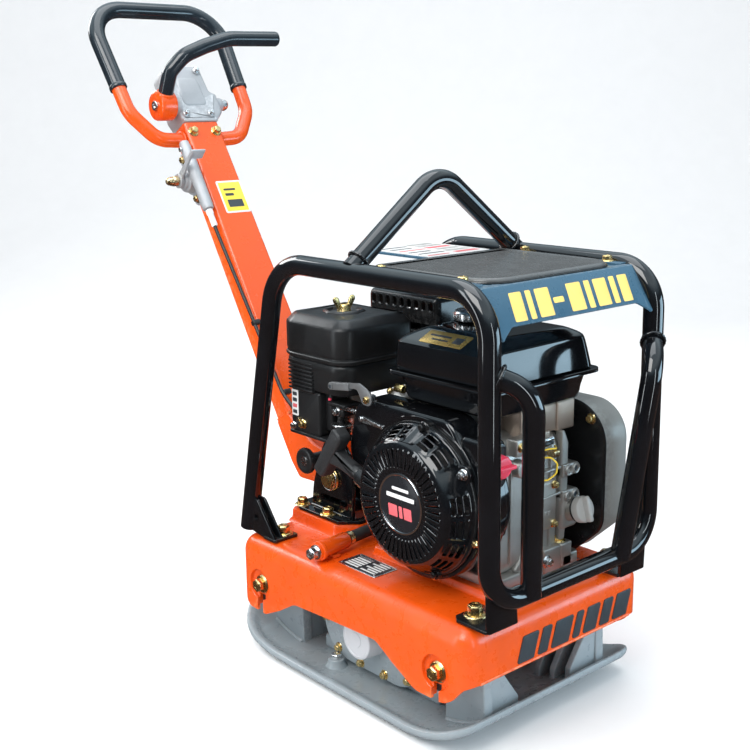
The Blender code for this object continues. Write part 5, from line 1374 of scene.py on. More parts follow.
def tank():
    parts = [slab(rect(-.076, .096, -.182, -.018, .018, 10),
                  [(.03, .394), (.018, .3945), (.0085, .3962), (.0028, .4005), (.0004, .4075),
                   (-.0006, .415), (-.006, .4325)], "z", BLACK),
             # seam flange
             slab(rect(-.0925, .113, -.195, -.007, .014, 10),
                  [(.012, .4318), (.0006, .4318), (0, .4324), (0, .434), (.0004, .4346),
                   (0, .4352), (0, .4366), (.0006, .4372), (.012, .4372)], "z", BLACK),
             tank_top(),
             # filler neck
             turned([(.4932, .014), (.4932, .02), (.493, .0215), (.492, .025), (.4912, .0285),
                     (.49, .03), (.49, .014)], (FUEL_X, FUEL_Y, 0), "z", BLACK, 64),
             *tank_label(),
             # stub at the rear wall
             capped((-.06, -.01, .404), (-.06, .006, .404), .0055, ZINC)]
    piece("tank", "upper", parts, "fuel_tank", 34)


def fuel_cap():
    """Fluted skirt and domed centre."""
    parts = [turned([(.4936, 0), (.4936, .0248), (.4942, .0256), (.499, .026), (.503, .0256),
                     (.505, .0244), (.5062, .0224), (.5066, .0195), (.5064, .016), (.507, .014),
                     (.5075, .0115), (.5075, 0)], (FUEL_X, FUEL_Y, 0), "z", SILVER_ZINC, 72)]
    for k in range(24):
        t = 2 * pi * k / 24
        p = Vector((FUEL_X + .0257 * cos(t), FUEL_Y + .0257 * sin(t), .4945))
        parts.append(capped(p, p + Vector((-.0004 * cos(t), -.0004 * sin(t), .008)), .0011,
                            SILVER_ZINC, n=10))
    piece("fuel_filler_cap", "cap", parts, "fuel_cap", 36)


# ================================================================ air cleaner and carburettor
def cleaner_outline(inset):
    x0, x1, y0, y1 = -.11 + inset, .02 - inset, .056 + inset, .196 - inset
    return rounded([(x0, y0), (x1, y0), (x1, y1), (x0 + .012, y1), (x0, y1 - .026)],
                   [.026, .01, .01, .02, .02], 9)


def cleaner_lid():
    nut = (LID_NUT_X, LID_NUT_Y, 0)
    lid = slab(cleaner_outline(0), [
        (.01, .43), (.0022, .4292), (.0008, .4294), (0, .4306), (0, .434), (.0016, .4352),
        (.002, .4372), (.0012, .439), (.001, .44), (.001, .4745), (.0018, .477), (.004, .4795),
        (.0075, .4832), (.0108, .4862), (.013, .4878), (.015, .4885), (.02, .4886)], "z", PLASTIC)
    cut(lid, turned([(.4868, 0), (.4868, .0205), (.4876, .0217), (.489, .0226), (.495, .0226),
                     (.495, 0)], nut, "z"))
    parts = [lid,
             # eight-sided rim round the nut's recess, and a washer in it
             turned([(.4886, .024), (.4914, .0252), (.492, .0262), (.4916, .0272),
                     (.4894, .0296), (.488, .03), (.488, .0236)], nut, "z", PLASTIC, 8),
             turned([(.4862, 0), (.4862, .011), (.4874, .0108), (.4877, .0096), (.4877, 0)],
                    nut, "z", SILVER_ZINC, 40)]
    piece("air_cleaner_lid", "upper", parts, "air_cleaner_cover", 34)


def cleaner_case():
    parts = [slab(cleaner_outline(.003), [
        (.014, .3858), (.005, .386), (.002, .387), (.001, .389), (.0006, .405), (0, .41),
        (-.001, .418), (-.0014, .423), (-.0005, .4262), (.001, .4282), (.003, .4287),
        (.02, .4287)], "z", PLASTIC)]
    # snorkel with flat ribs below the lid, on the left flank
    for i in range(8):
        z = .385 + .0054 * i
        parts.append(box(-.1095, -.07, .122, .1745, z - .0015, z + .0015, PLASTIC, .0009, 2))
    parts += [box(-.1066, -.07, .124, .172, .38, .427, PLASTIC, .003, 3),
              turned([(.48, 0), (.48, .003), (.4935, .003), (.495, .0022), (.495, 0)],
                     (LID_NUT_X, LID_NUT_Y, 0), "z", SILVER_ZINC, 24)]
    piece("air_cleaner_case", "upper", parts, "air_cleaner_base", 34)


def wing_nut():
    x = LID_NUT_X
    parts = [turned([(.4986, .0034), (.4986, .0056), (.498, .0066), (.496, .0074),
                     (.492, .0088), (.4886, .0102), (.4879, .0098), (.4879, .0034)],
                    (x, LID_NUT_Y, 0), "z", ZINC, 40)]
    for s in SIDES:
        wing = rounded([(x + s * .004, .49), (x + s * .0105, .491), (x + s * .0195, .504),
                        (x + s * .018, .51), (x + s * .011, .509), (x + s * .006, .4975),
                        (x + s * .004, .497)], [.001, .004, .005, .004, .005, .004, .001])
        parts.append(board(wing, LID_NUT_Y - .002, LID_NUT_Y + .002, "y", ZINC, .0014))
    piece("lid_wing_nut", "wing", parts, "wing_nut", 40)


def carburettor():
    parts = [box(-.06, -.02, .1, .148, .342, .3855, ALU, .004, 4),
             # float bowl
             turned([(.32, 0), (.32, .015), (.3215, .018), (.325, .019), (.338, .0192),
                     (.34, .0205), (.3425, .0205), (.343, 0)], (-.04, .124, 0), "z",
                    SILVER_ZINC, 48),
             *bolt((-.04, .124, .3202), DOWN, .009, .005),
             capped((-.061, .112, .362), (-.07, .112, .362), .004, BRASS)]
    piece("carburettor_body", "upper", parts, "carburettor", 34)


def linkage_housing():
    """Housing beside the carburettor: strap flange, plain label, spring, cup and links."""
    outline = rounded([(.112, .321), (.176, .321), (.176, .384), (.112, .384)],
                      [.006, .008, .006, .004])
    parts = [board(outline, -.064, -.105, "x", PLASTIC, .0006, .004),
             box(-.093, -.064, .1, .116, .33, .385, PLASTIC, .003, 3),
             slab(rect(.1585, .1725, .344, .3815, .0015, 3),
                  [(0, -.1045), (0, -.1056), (.0002, -.1057)], "x", WHITE)]
    for i, z in enumerate((.347, .3555, .364, .3725)):
        parts.append(slab(rect(.161, .1705, z, z + .0052, .001, 3),
                          [(0, -.1054), (0, -.1059), (.0001, -.10595)], "x",
                          INK if i != 1 else RED_INK))
    # strap flange with its hole
    strap = board(rounded([(-.107, .082), (-.064, .082), (-.064, .181), (-.107, .181)],
                          [.007, .004, .004, .007], 7), .318, .3225, "z", PLASTIC, .0012, n=3)
    cut(strap, rod((-.098, .093, .31), (-.098, .093, .34), .0045, n=28))
    cup = (-.086, .088, 0)
    parts += [strap,
              *bolt((-.08, .093, .3225), UP, .008, .005, .0062),
              *bolt((-.1052, .148, .3345), LEFT, .009, .005, .0068, turn=9),
              *bolt((-.1052, .169, .329), LEFT, .007, .004, .0052, SILVER_ZINC, 9),
              capped((-.104, .157, .34), (-.1085, .157, .34), .003, BRASS),
              # choke plate and cup in front of the housing
              box(-.101, -.07, .064, .1, .37, .3755, PLASTIC, .0022, 4),
              box(-.096, -.072, .072, .1, .356, .369, PLASTIC, .003, 4),
              turned([(.327, 0), (.327, .009), (.329, .0118), (.334, .0128), (.344, .0128),
                      (.345, 0)], cup, "z", BLACK_SATIN, 40),
              turned([(.3435, .012), (.3435, .0136), (.3425, .0142), (.341, .0142),
                      (.34, .0136), (.34, .012)], cup, "z", SILVER_ZINC, 48),
              turned([(.345, 0), (.345, .006), (.356, .0056), (.357, 0)], cup, "z",
                     BLACK_SATIN, 28),
              *bolt((-.0962, .085, .3625), LEFT, .0085, .0045, .0062, SILVER_ZINC, 12),
              capped((-.0995, .096, .377), (-.0995, .096, .38), .0022, RED, n=16)]
    # governor spring between two rods
    coil = []
    for k in range(140):
        t = k / 139
        coil.append((-.096 + .0024 * cos(t * 2 * pi * 12), .03 + .055 * t,
                     .37 + .0024 * sin(t * 2 * pi * 12)))
    parts += [tube(coil, .00055, SILVER_ZINC, 1),
              tube([(-.096, .085, .37), (-.096, .104, .37)], .0009, SILVER_ZINC, 2),
              tube([(-.096, .03, .37), (-.096, .012, .374), (-.096, -.002, .39)], .0009,
                   SILVER_ZINC, 2)]
    piece("linkage_housing", "upper", parts, "carburettor_cover", 36)


def speed_lever():
    axle = Matrix.Translation((0, 0, .398))
    m = axle @ Matrix.Rotation(radians(3), 4, "X") @ axle.inverted()
    arm = rounded([(-.008, .39), (.008, .39), (.02, .4075), (.044, .4035), (.044, .411),
                   (.016, .4165), (.002, .412), (-.008, .406)],
                  [.0078, .006, .006, .001, .001, .008, .006, .0078], 8)
    grip = rounded([(.034, .4022), (.074, .395), (.0758, .405), (.0358, .4122)], .0014, 4)
    parts = [board(arm, -.114, -.1164, "x", STEEL_GREY, .0006, n=2),
             board(grip, -.1108, -.1185, "x", STEEL_GREY, .0012, n=3),
             board(rect(.0668, .075, .3972, .4042, .001, 3), -.117, -.1196, "x", STEEL_GREY,
                   .0004, n=2),
             board(rect(.0682, .0736, .3984, .403, .001, 3), -.117, -.1198, "x", INK,
                   .0004, n=2)]
    parts = [place(ob, m) for ob in parts]
    parts += [*bolt((-.116, 0, .398), LEFT, .0085, .0045),
              capped((-.104, 0, .398), (-.1162, 0, .398), .006, SILVER_ZINC)]
    piece("speed_lever", "speed_control", parts, "engine_control_lever", 38)


# ================================================================ exhaust, oil cap, drain
def muffler():
    pipe = bent([(.07, .09, .4), (.07, .085, .345), (.07, .04, .335), (.05, .038, .335)], .016)
    parts = [box(.03, .1, .06, .175, .39, .465, BLACK_SATIN, .016, 6),
             # seam
             slab(rect(.06, .175, .39, .465, .016),
                  [(.01, .0635), (-.0018, .064), (-.0018, .066), (.01, .0665)], "x",
                  BLACK_SATIN),
             tube(pipe, .011, IRON, 8),
             board(rect(.025, .052, .318, .352, .006, 5), .0492, .0532, "x", IRON, .0006, n=2),
             capped((.085, .174, .425), (.085, .19, .425), .0085, IRON)]
    piece("muffler_body", "upper", parts, "muffler", 36)


def open_ring(ob):
    """Take off a slab's two end faces and join their edges, leaving an open ring."""
    bm = bmesh.new()
    bm.from_mesh(ob.data)
    ends = [f for f in bm.faces if len(f.verts) > 6]
    bmesh.ops.delete(bm, geom=ends, context="FACES_ONLY")
    bmesh.ops.bridge_loops(bm, edges=[e for e in bm.edges if e.is_boundary])
    bmesh.ops.recalc_face_normals(bm, faces=bm.faces)
    bm.to_mesh(ob.data)
    bm.free()
    return ob


def muffler_shield():
    """Box-shaped guard with nine rimmed slots in its left wall."""
    x0, x1, y0, y1 = .026, .108, .018, .16
    shield = slab(rect(x0, x1, y0, y1, .01, 7),
                  [(.009, .5062), (.005, .5058), (.0028, .504), (.002, .5005), (.002, .4722),
                   (0, .4722), (0, .5015), (.001, .5058), (.0035, .5088), (.007, .5099),
                   (.01, .51)], "z", BLACK_SATIN)
    cutters = []
    rims = []
    for k in range(9):
        y = .03 + .0145 * k
        slot = rect(y - .0042, y + .0042, .49, .5032, .0041, 7)
        cutters.append(slab(slot, [(0, .02), (0, .03)], "x"))
        rims.append(slab(slot, [(.0006, .0268), (0, .0262), (-.0006, .0254), (-.0014, .0254),
                                (-.0018, .0262), (-.001, .0268)], "x", BLACK_SATIN))
    cut(shield, *cutters)
    parts = [shield, *map(open_ring, rims)]
    # ribs across the lid
    for k in range(6):
        y = .038 + .0205 * k
        parts.append(slab(rect(x0 + .014, x1 - .014, y - .0025, y + .0025, .0022, 4),
                          [(0, .5095), (.0004, .5103), (.0014, .5108)], "z", BLACK_SATIN))
    for x, y in ((.04, .028), (.094, .148)):
        parts += bolt((x, y, .5099), UP, .0075, .004, .0055, SILVER_ZINC)
    piece("muffler_shield", "upper", parts, "muffler_guard", 36)


def oil_cap():
    wing = rounded([(-.0155, -.012), (.0155, -.012), (.0172, .0016), (-.0172, .0016)],
                   [.002, .002, .003, .003], 5)
    tilt = OIL_DIR.to_track_quat("Z", "X").to_matrix().to_4x4()
    parts = [turned([(-.0162, 0), (-.0162, .0165), (-.0155, .0172), (-.0085, .0172),
                     (-.0068, .0166), (-.006, .015), (-.0058, 0)], OIL_CAP, OIL_DIR,
                    GREY_PLASTIC, 48),
             place(board(wing, -.0034, .0034, "y", GREY_PLASTIC, .0016),
                   Matrix.Translation(OIL_CAP) @ tilt)]
    piece("oil_cap_visual", "oil_cap", parts, "oil_filler_cap", 38)


def drain_line():
    """Orange drain tube on the left shelf with plug, clip, hose and stand."""
    a, b = Vector((-.155, .064, .183)), Vector((-.096, .072, .183))
    d = (b - a).normalized()
    hose = bent([(-.1, .0715, .183), (-.05, .078, .183), (-.02, .066, .19)], .03)
    parts = [capped(a, b, .0115, ORANGE, .002, 44),
             turned([(.006, .01), (.006, .013), (.005, .0138), (.001, .0138), (0, .0132),
                     (0, .01)], a + d * .004, d, ORANGE, 44),
             turned([(-.001, 0), (-.001, .01), (.003, .0108), (.003, 0)], a - d * .0002, d,
                    SILVER_ZINC, 36),
             *bolt(a, -d, .015, .012, mat=SILVER_ZINC, turn=11),
             tube(hose, .0085, RUBBER, 6),
             turned([(.004, .008), (.004, .0098), (-.004, .0098), (-.004, .008)],
                    b + d * .006, d, ZINC, 36),
             box(-.13, -.118, .056, .08, BODY_TOP + .0002, BODY_TOP + .004, ORANGE_CAST,
                 .001, 2),
             box(-.128, -.12, .062, .074, BODY_TOP + .002, .176, ORANGE_CAST, .002, 3)]
    piece("drain_line", "upper", parts, "drain_hose", 38)


# ================================================================ tube frame and top cover
def guard_frame():
    """Hoop of bent tube, two front loops, the roof-shaped lift tube, feet and gussets."""
    r, x, top, front, rear = TUBE_R, HOOP_X, HOOP_TOP, HOOP_FRONT, HOOP_REAR
    hoop = bent([(-x, rear + .083, .175), (-x, rear, top), (-x, front, top),
                 (-x, front - .004, .203), (x, front - .004, .203), (x, front, top),
                 (x, rear, top), (x, rear + .083, .175)],
                [.07, .055, .05, .05, .055, .07], radians(3.5))
    parts = [tube(hoop, r, BLACK_TUBE, 11)]
    for s in SIDES:
        loop = bent([(s * x, front, .477), (s * .11, front - .032, .456),
                     (s * .085, front - .011, .203)], .045, radians(3.5))
        parts.append(tube(loop, r - .0002, BLACK_TUBE, 11))
        parts.append(weld_ring((s * .1405, front - .0075, .4735), (s * -.62, -.66, -.43),
                               r + .0012, BLACK_TUBE))
    lift_y, lift_top = -.0115, .683
    lift = bent([(-x, lift_y, top + .004), (0, lift_y, lift_top), (x, lift_y, top + .004)],
                .045, radians(3))
    parts.append(tube(lift, r - .0003, BLACK_TUBE, 11))
    for s in SIDES:
        d = Vector((s * x, 0, top + .004)) - Vector((0, 0, lift_top))
        d.normalize()
        parts.append(weld_ring(Vector((s * x, lift_y, top + .004)) - d * .016, d, r + .001,
                               BLACK_TUBE))
    foot_z = BODY_TOP + .0003
    foot_top = BODY_TOP + .0043
    for s in SIDES:
        # front foot and gusset
        a, b = s * .15, s * .096
        foot = rounded([(a, -.243), (b, -.243), (b, -.186), (a - s * .008, -.186), (a, -.195)],
                       .002, 3)
        gusset = rounded([(s * .148, foot_z), (s * .098, foot_z), (s * .1, .195),
                          (s * .12, .206), (s * .138, .229), (s * .15, .229)],
                         [.002, .002, .004, .012, .006, .004])
        parts += [board(foot, foot_z, foot_top, "z", BLACK_SATIN, .0006, n=2),
                  board(gusset, -.2455, -.24, "y", BLACK, .0008, n=2),
                  *bolt((s * .1255, -.202, foot_top), UP, .017, .012, .014, turn=14,
                        washer_t=.0022)]
        # rear foot and its two webs
        x0, x1 = sorted((s * .156, s * .114))
        parts.append(board(rect(x0, x1, .155, .185, .004, 4), foot_z, foot_top, "z",
                           BLACK_SATIN, .0006, n=2))
        outline = rounded([(.155, BODY_TOP + .001), (.185, BODY_TOP + .001), (.224, .176),
                           (.213, .223), (.196, .223)], [.001, .001, .004, .006, .008], 5)
        web = board(outline, s * .15, s * .155, "x", BLACK, .001, n=3)
        cut(web, rod((s * .145, .199, .196), (s * .16, .199, .196), .0052, n=28))
        parts += [web, board(outline, s * .139, s * .1425, "x", BLACK, .001, n=3),
                  *bolt((s * .129, .17, foot_top), UP, .016, .011, .0135, turn=20,
                        washer_t=.0022)]
    piece("tube_frame", "upper", parts, "guard_frame", 50)


def front_panel(half_width):
    """Panel leaning along the hoop's bend, its lower edge cut back between two pointed ears."""
    low, high = Vector((0, -.2432, .5232)), Vector((0, -.216, .5665))
    up = (high - low).normalized()
    height = (high - low).length
    # in the panel's own frame x runs across, z runs up its face, -y points out of it
    m = Matrix(((1, 0, 0, 0), (0, up.z, up.y, low.y), (0, -up.y, up.z, low.z), (0, 0, 0, 1)))
    w = half_width
    outline = rounded([(-w, height), (w, height), (w, -.015), (.129, -.0085), (.113, .002),
                       (-.113, .002), (-.129, -.0085), (-w, -.015)],
                      [.004, .004, .003, .012, .01, .01, .012, .003], 7)
    parts = [slab(outline, [(.0008, .0016), (0, .0012), (0, -.0006), (.0003, -.0012),
                            (.0012, -.0015)], "y", COVER)]
    # plain slanted yellow bars; the narrow-range entry is a dash
    tall, dash = (.006, .041, .006), (.02, .027, .001)   # bottom, top, slant
    x = -.105
    for width, (z0, z1, slant) in ((.02, tall), (.009, tall), (.024, tall), (.018, dash),
                                   (.026, tall), (.01, tall), (.024, tall), (.01, tall),
                                   (.018, tall)):
        bar = rounded([(x, z0), (x + width, z0), (x + width + slant, z1), (x + slant, z1)],
                      .0015, 4)
        parts.append(slab(bar, [(0, -.001), (0, -.0018), (.0002, -.0019)], "y", YELLOW_PALE))
        x += width + .0068
    return [place(ob, m) for ob in parts]


def notice(z):
    """Plain notice sheet on the rear plate, with rows of bars."""
    parts = [slab(rect(.012, .129, .017, .144, .004, 5),
                  [(0, z - .0002), (0, z + .0006), (.0002, z + .0008)], "z", WHITE)]
    print_z = [(0, z + .0007), (0, z + .00105)]
    for i in range(6):
        y = .026 + .019 * i
        parts.append(slab(rect(.02, .068 if i % 2 else .06, y, y + .0045, .001, 2), print_z,
                          "z", RED_INK if i in (0, 3) else INK))
        parts.append(slab(rect(.076, .12, y + .002, y + .013, .001, 2), print_z, "z",
                          RED_INK if i % 3 == 0 else GREY_PLASTIC))
    return parts


def top_cover():
    z = HOOP_TOP
    sheet_top = z + .001
    outline = rounded([(-.1335, -.208), (.1335, -.208), (.1335, .15), (.006, .15),
                       (.006, .012), (-.1335, .012)], [.003, .003, .012, .006, .004, .012])
    sheet = board(outline, z - .002, sheet_top, "z", COVER, .0006, n=2)
    for s in SIDES:
        cut(sheet, box(s * .098, s * .14, -.03, .007, z - .004, z + .03, r=.004, seg=3,
                       which="vert"))
    # raised pad with rounded front corners, dark bead round its edge
    pad = rounded([(-.1175, -.211), (.1175, -.211), (.1175, -.015), (-.1175, -.015)],
                  [.04, .04, .01, .01], 12)
    parts = [sheet,
             slab(pad, [(0, z), (0, z + .0035), (.0006, z + .0056), (.0022, z + .0072),
                        (.0045, z + .0078), (.0065, z + .0074), (.0085, z + .007),
                        (.02, z + .007)], "z", PAD),
             slab(pad, [(-.0005, z + .0005), (-.0022, z + .001), (-.0026, z + .0026),
                        (-.0016, z + .004), (.0004, z + .004), (.001, z + .0005)], "z",
                  BLACK_SATIN)]
    half_width = .1365
    parts += front_panel(half_width)
    fold = rounded([(-.218, .5668), (-.2155, .564), (-.204, .5642), (-.204, .5674),
                    (-.215, .5676)], [.0012, .001, 0, 0, .003], 4)
    parts.append(slab(fold, [(0, -half_width), (0, half_width)], "x", COVER))
    # bolting strips beside the tubes, each with two bolts
    for s in SIDES:
        parts.append(board(rect(s * .12, s * .144, -.206, -.028, .003, 4), z + .0005,
                           z + .0036, "z", COVER, .0006, n=2))
        for y in (-.183, -.045):
            parts += bolt((s * .13, y, z + .0036), UP, .011, .0062, .0086, turn=12,
                          washer_t=.0014)
    parts += notice(sheet_top)
    piece("cover_sheet", "upper", parts, "top_cover", 36)


# ================================================================ handle
def stand():
    """Base plate and two upright ears that carry the handle's pivot."""
    base = rounded([(-.05, .095), (.05, .095), (.074, .116), (.074, .205), (.052, .224),
                    (-.052, .224), (-.074, .205), (-.074, .116)], .004, 4)
    parts = [board(base, .1868, .1918, "z", BLACK, .0008, n=3)]
    outline = rounded([(.108, .189), (.2, .189), (.195, .225), (.18, .27), (.162, .305),
                       (.13, .305), (.112, .285), (.105, .24)],
                      [.002, .002, .02, .02, .012, .012, .014, .03], 7)
    slot = rect(.118, .178, .206, .215, .0044)
    for s in SIDES:
        ear = board(outline, s * .048, s * .054, "x", BLACK, .001, n=3)
        cut(ear, slab(slot, [(0, s * .04), (0, s * .06)], "x"))
        cut(ear, rod((s * .04, PIVOT.y, PIVOT.z), (s * .06, PIVOT.y, PIVOT.z), .0083))
        weld = [(s * .0545, .11 + .088 * k / 12, .192) for k in range(13)]
        parts += [ear, tube(weld, .0026, BLACK, 3)]
    # cross plate between the ears
    parts.append(board(rect(-.048, .048, .1915, .235, .003, 3), .188, .193, "y", BLACK,
                       .0008, n=2))
    for s in SIDES:
        for y in (.15, .209):
            parts += bolt((s * .064, y, .1918), UP, .014, .009, .0115, turn=8)
    # collar for the lock knob
    parts.append(turned([(.0085, .0053), (.0085, .0088), (.008, .0094), (.0068, .012),
                         (.006, .0126), (.0006, .0126), (0, .0118), (0, .0053)],
                        (-.0536, LOCK_Y, LOCK_Z), LEFT, BLACK, 44))
    piece("stand", "upper", parts, "handle_stand", 36)


def pivot_pin():
    """Pin with a round grooved head at each end and a ring clip on the left."""
    y, z = PIVOT.y, PIVOT.z
    parts = [capped((-.0635, y, z), (.0635, y, z), .008, ZINC, .001, 40)]
    head = [(.0543, 0), (.0543, .0078), (.0543, .0165), (.0552, .0172), (.0563, .0172),
            (.057, .0165), (.0572, .0138), (.058, .0131), (.0628, .0131), (.0638, .0124),
            (.064, .0112), (.0634, .006), (.0634, 0)]
    for s in SIDES:
        parts.append(turned(mirrored(head, s), (0, y, z), "x", ZINC, 56))
    clip = []
    for k in range(41):
        t = 2 * pi * k / 40 * .92
        clip.append((-.0605 + .002 * sin(t), y - .002 + .0152 * cos(t), z + .0152 * sin(t)))
    parts.append(tube(clip, .001, SILVER_ZINC, 4))
    piece("pivot_pin", "upper", parts, "pivot_bolt", 38)


def lock_knob():
    y, z = LOCK_Y, LOCK_Z
    profile = [(.063, 0), (.063, .0074), (.064, .0084), (.08, .008), (.09, .0088), (.0955, .012),
               (.0966, .0165), (.0974, .0176), (.099, .018), (.1035, .018), (.105, .0174),
               (.1058, .016), (.106, .012), (.1052, .0098), (.1052, 0)]
    parts = [capped((-.0452, y, z), (-.096, y, z), .005, MACHINED, .0008, 32),
             turned(mirrored(profile, -1), (0, y, z), "x", PLASTIC, 64)]
    for k in range(20):
        t = 2 * pi * k / 20
        rim = (y + .0176 * cos(t), z + .0176 * sin(t))
        parts.append(capped((-.0988, *rim), (-.104, *rim), .0011, PLASTIC, n=10))
    parts.append(turned([(-.1048, 0), (-.1048, .0068), (-.1058, .0066), (-.106, .0052),
                         (-.1056, 0)], (0, y, z), "x", SILVER_ZINC, 32))
    piece("lock_pin_knob", "lock", parts, "lock_knob", 38)


def channel_section(w, n=6):
    """U channel of half width w, open to the rear, with rounded folds."""
    t, front, rear = .003, .06, .096
    ro = .0065
    ri = ro - t
    fold = [pi / 2 * k / n for k in range(n + 1)]
    return ([(w, rear)]
            + [(w - ro + ro * cos(a), front + ro - ro * sin(a)) for a in fold]
            + [(-w + ro - ro * sin(a), front + ro - ro * cos(a)) for a in fold]
            + [(-w, rear), (-w + t, rear)]
            + [(-w + t + ri - ri * cos(a), front + t + ri - ri * sin(a)) for a in fold]
            + [(w - t - ri + ri * sin(a), front + t + ri - ri * cos(a)) for a in fold]
            + [(w - t, rear)])


def column_label():
    """Yellow label with a white border and dark bars on the column's front face."""
    x = .007
    parts = [slab(rect(x - .0235, x + .0235, .46, .517, .003, 4),
                  [(0, .0602), (0, .0596), (.0002, .0595)], "y", WHITE),
             slab(rect(x - .0205, x + .0205, .463, .514, .0015, 3),
                  [(0, .0598), (0, .0593), (.0002, .0592)], "y", YELLOW)]
    for x0, x1, z0, z1 in ((-.014, .014, .47, .483), (-.014, .002, .49, .4945),
                           (-.014, .008, .4995, .503)):
        parts.append(slab(rect(x + x0, x + x1, z0, z1, .001, 2),
                          [(0, .0595), (0, .059), (.0001, .059)], "y", INK))
    return parts


def column():
    """Tapering channel with a closing plate, yoke cheeks at its foot and a label."""
    z0, z1, w0, w1, t = .045, .625, .038, .0325, .003
    rows = []
    for i in range(41):
        f = i / 40
        rows.append([(x, y, z0 + (z1 - z0) * f)
                     for x, y in channel_section(w0 + (w1 - w0) * f)])
    # closing plate, set in a little from the channel's rear edges
    rear = [(-w0 + t - .0002, z0 + .01), (w0 - t + .0002, z0 + .01),
            (w1 - t + .0002, z1 - .006), (-w1 + t - .0002, z1 - .006)]
    parts = [loft(rows, ORANGE), board(rear, .093, .0954, "y", ORANGE, .0004, n=2)]
    outline = rounded([(-.018, -.012), (.014, -.018), (.06, .012), (.09, .029), (.0945, .056),
                       (.0945, .123), (.062, .123), (.056, .108), (.03, .06), (-.014, .022)],
                      [.014, .014, .02, .01, .01, .006, .006, .02, .03, .014], 7)
    for s in SIDES:
        cheek = board(outline, s * .0362, s * .042, "x", ORANGE, .0012, n=3)
        cut(cheek, rod((-.06, 0, 0), (.06, 0, 0), .0084, n=36))
        weld = [(s * .0388, .0605 + .033 * k / 8, .1238) for k in range(9)]
        parts += [cheek, tube(weld, .0024, ORANGE, 3)]
    parts.append(board(rect(-.04, .04, .03, .1, .005, 4), .056, .0602, "y", ORANGE, .0012, n=3))
    for s in SIDES:
        parts += bolt((s * .0215, .06, .608), FRONT, .011, .007, .0088, turn=20,
                      washer_t=.0014)
    parts += column_label()
    piece("column", "handle", parts, "handle_column", 34, leaning=True)


def handle_loop():
    """Bent tube loop with a dark sleeve over its upper part."""
    y = .079
    corners = [(-.03, y, .603), (-.078, y, .606), (-.112, y, .655), (-.122, y, .848),
               (.122, y, .848), (.112, y, .655), (.078, y, .606), (.03, y, .603)]
    path = bent(corners, [.035, .05, .06, .06, .05, .035], radians(3.5))
    loop = tube(path, .0115, ORANGE, 10)
    cut(loop, flat([(-.0322, .56), (.0322, .56), (.0316, .65), (-.0316, .65)], .05, .12, "y"))
    # denser path for the sleeve
    dense = []
    for a, b in zip(path[:-1], path[1:]):
        k = max(1, int((b - a).length / .004))
        dense += [a + (b - a) * i / k for i in range(k)]
    dense.append(path[-1])
    upper = [p for p in dense if p.z >= .6965]
    parts = [loop, tube(upper, .0131, SLEEVE, 10)]
    for end, following in ((upper[0], upper[1]), (upper[-1], upper[-2])):
        parts.append(turned([(.0072, .0116), (.0072, .0131), (.006, .014), (.001, .014),
                             (0, .0132), (0, .0116)], end, following - end, SLEEVE, 48))
    for s in SIDES:
        parts.append(weld_ring((s * .0355, y, .6033), (1, 0, 0), .0125, ORANGE))
    piece("loop", "handle", parts, "handle_loop", 50, leaning=True)


# ================================================================ controls, in the handle frame
def control_box():
    outline = rounded([(-.031, .6254), (.031, .6254), (.049, .643), (.049, .677),
                       (.038, .683), (.035, .73), (-.034, .73), (-.036, .645)],
                      [.003, .003, .008, .006, .006, .012, .012, .006], 7)
    panel = rounded([(-.02, .656), (.023, .656), (.021, .706), (-.018, .706)], .008, 7)
    parts = [slab(outline, [(.008, .059), (.0045, .0592), (.002, .06), (.0006, .0616),
                            (0, .064), (0, .097), (.0008, .1), (.003, .1016), (.006, .102)],
                  "y", ALU_HEAD),
             board(rect(-.032, .032, .6256, .632, .0015, 2), .0572, .098, "y", ALU_HEAD,
                   .0015, n=3),
             # raised panel on the front face, plain
             slab(panel, [(-.001, .0596), (0, .0584), (.001, .0578), (.003, .0576)], "y",
                  ALU_HEAD)]
    for x, z in ((-.0235, .64), (.0235, .64), (-.024, .72), (.025, .72)):
        parts.append(turned([(0, 0), (0, .0072), (.0035, .0066), (.004, .0058), (.004, 0)],
                            (x, .06, z), FRONT, ALU_HEAD, 28))
        parts += bolt((x, .0562, z), FRONT, .007, .004, .0052, SILVER_ZINC, 9, .0008)
    port = (0, .073, .664)
    parts += [
        # shaft boss on the left
        turned([(-.03, .006), (-.03, .0185), (-.038, .0175), (-.0398, .0165),
                (-.0402, .015), (-.0402, .006)], (0, HUB_Y, HUB_Z), "x", ALU_HEAD, 48),
        # hose port with its fitting on the right
        turned([(.044, 0), (.044, .0125), (.05, .0118), (.057, .0112), (.059, .0105),
                (.06, .0095), (.06, 0)], port, "x", ALU_HEAD, 40),
        *bolt((.059, .073, .664), RIGHT, .0175, .007, mat=SILVER_ZINC, turn=12, dish=False),
        turned([(.065, 0), (.065, .0085), (.068, .0082), (.0705, .0064), (.0718, .0036),
                (.0722, 0)], port, "x", SILVER_ZINC, 32)]
    piece("control_box", "handle", parts, "control_head", 36, leaning=True)


TRAVEL_DIR = Vector((0, -.852, .523)).normalized()   # the travel bar leaves its hub this way
TRAVEL_START = Vector((-.0545, HUB_Y, HUB_Z)) + TRAVEL_DIR * .01


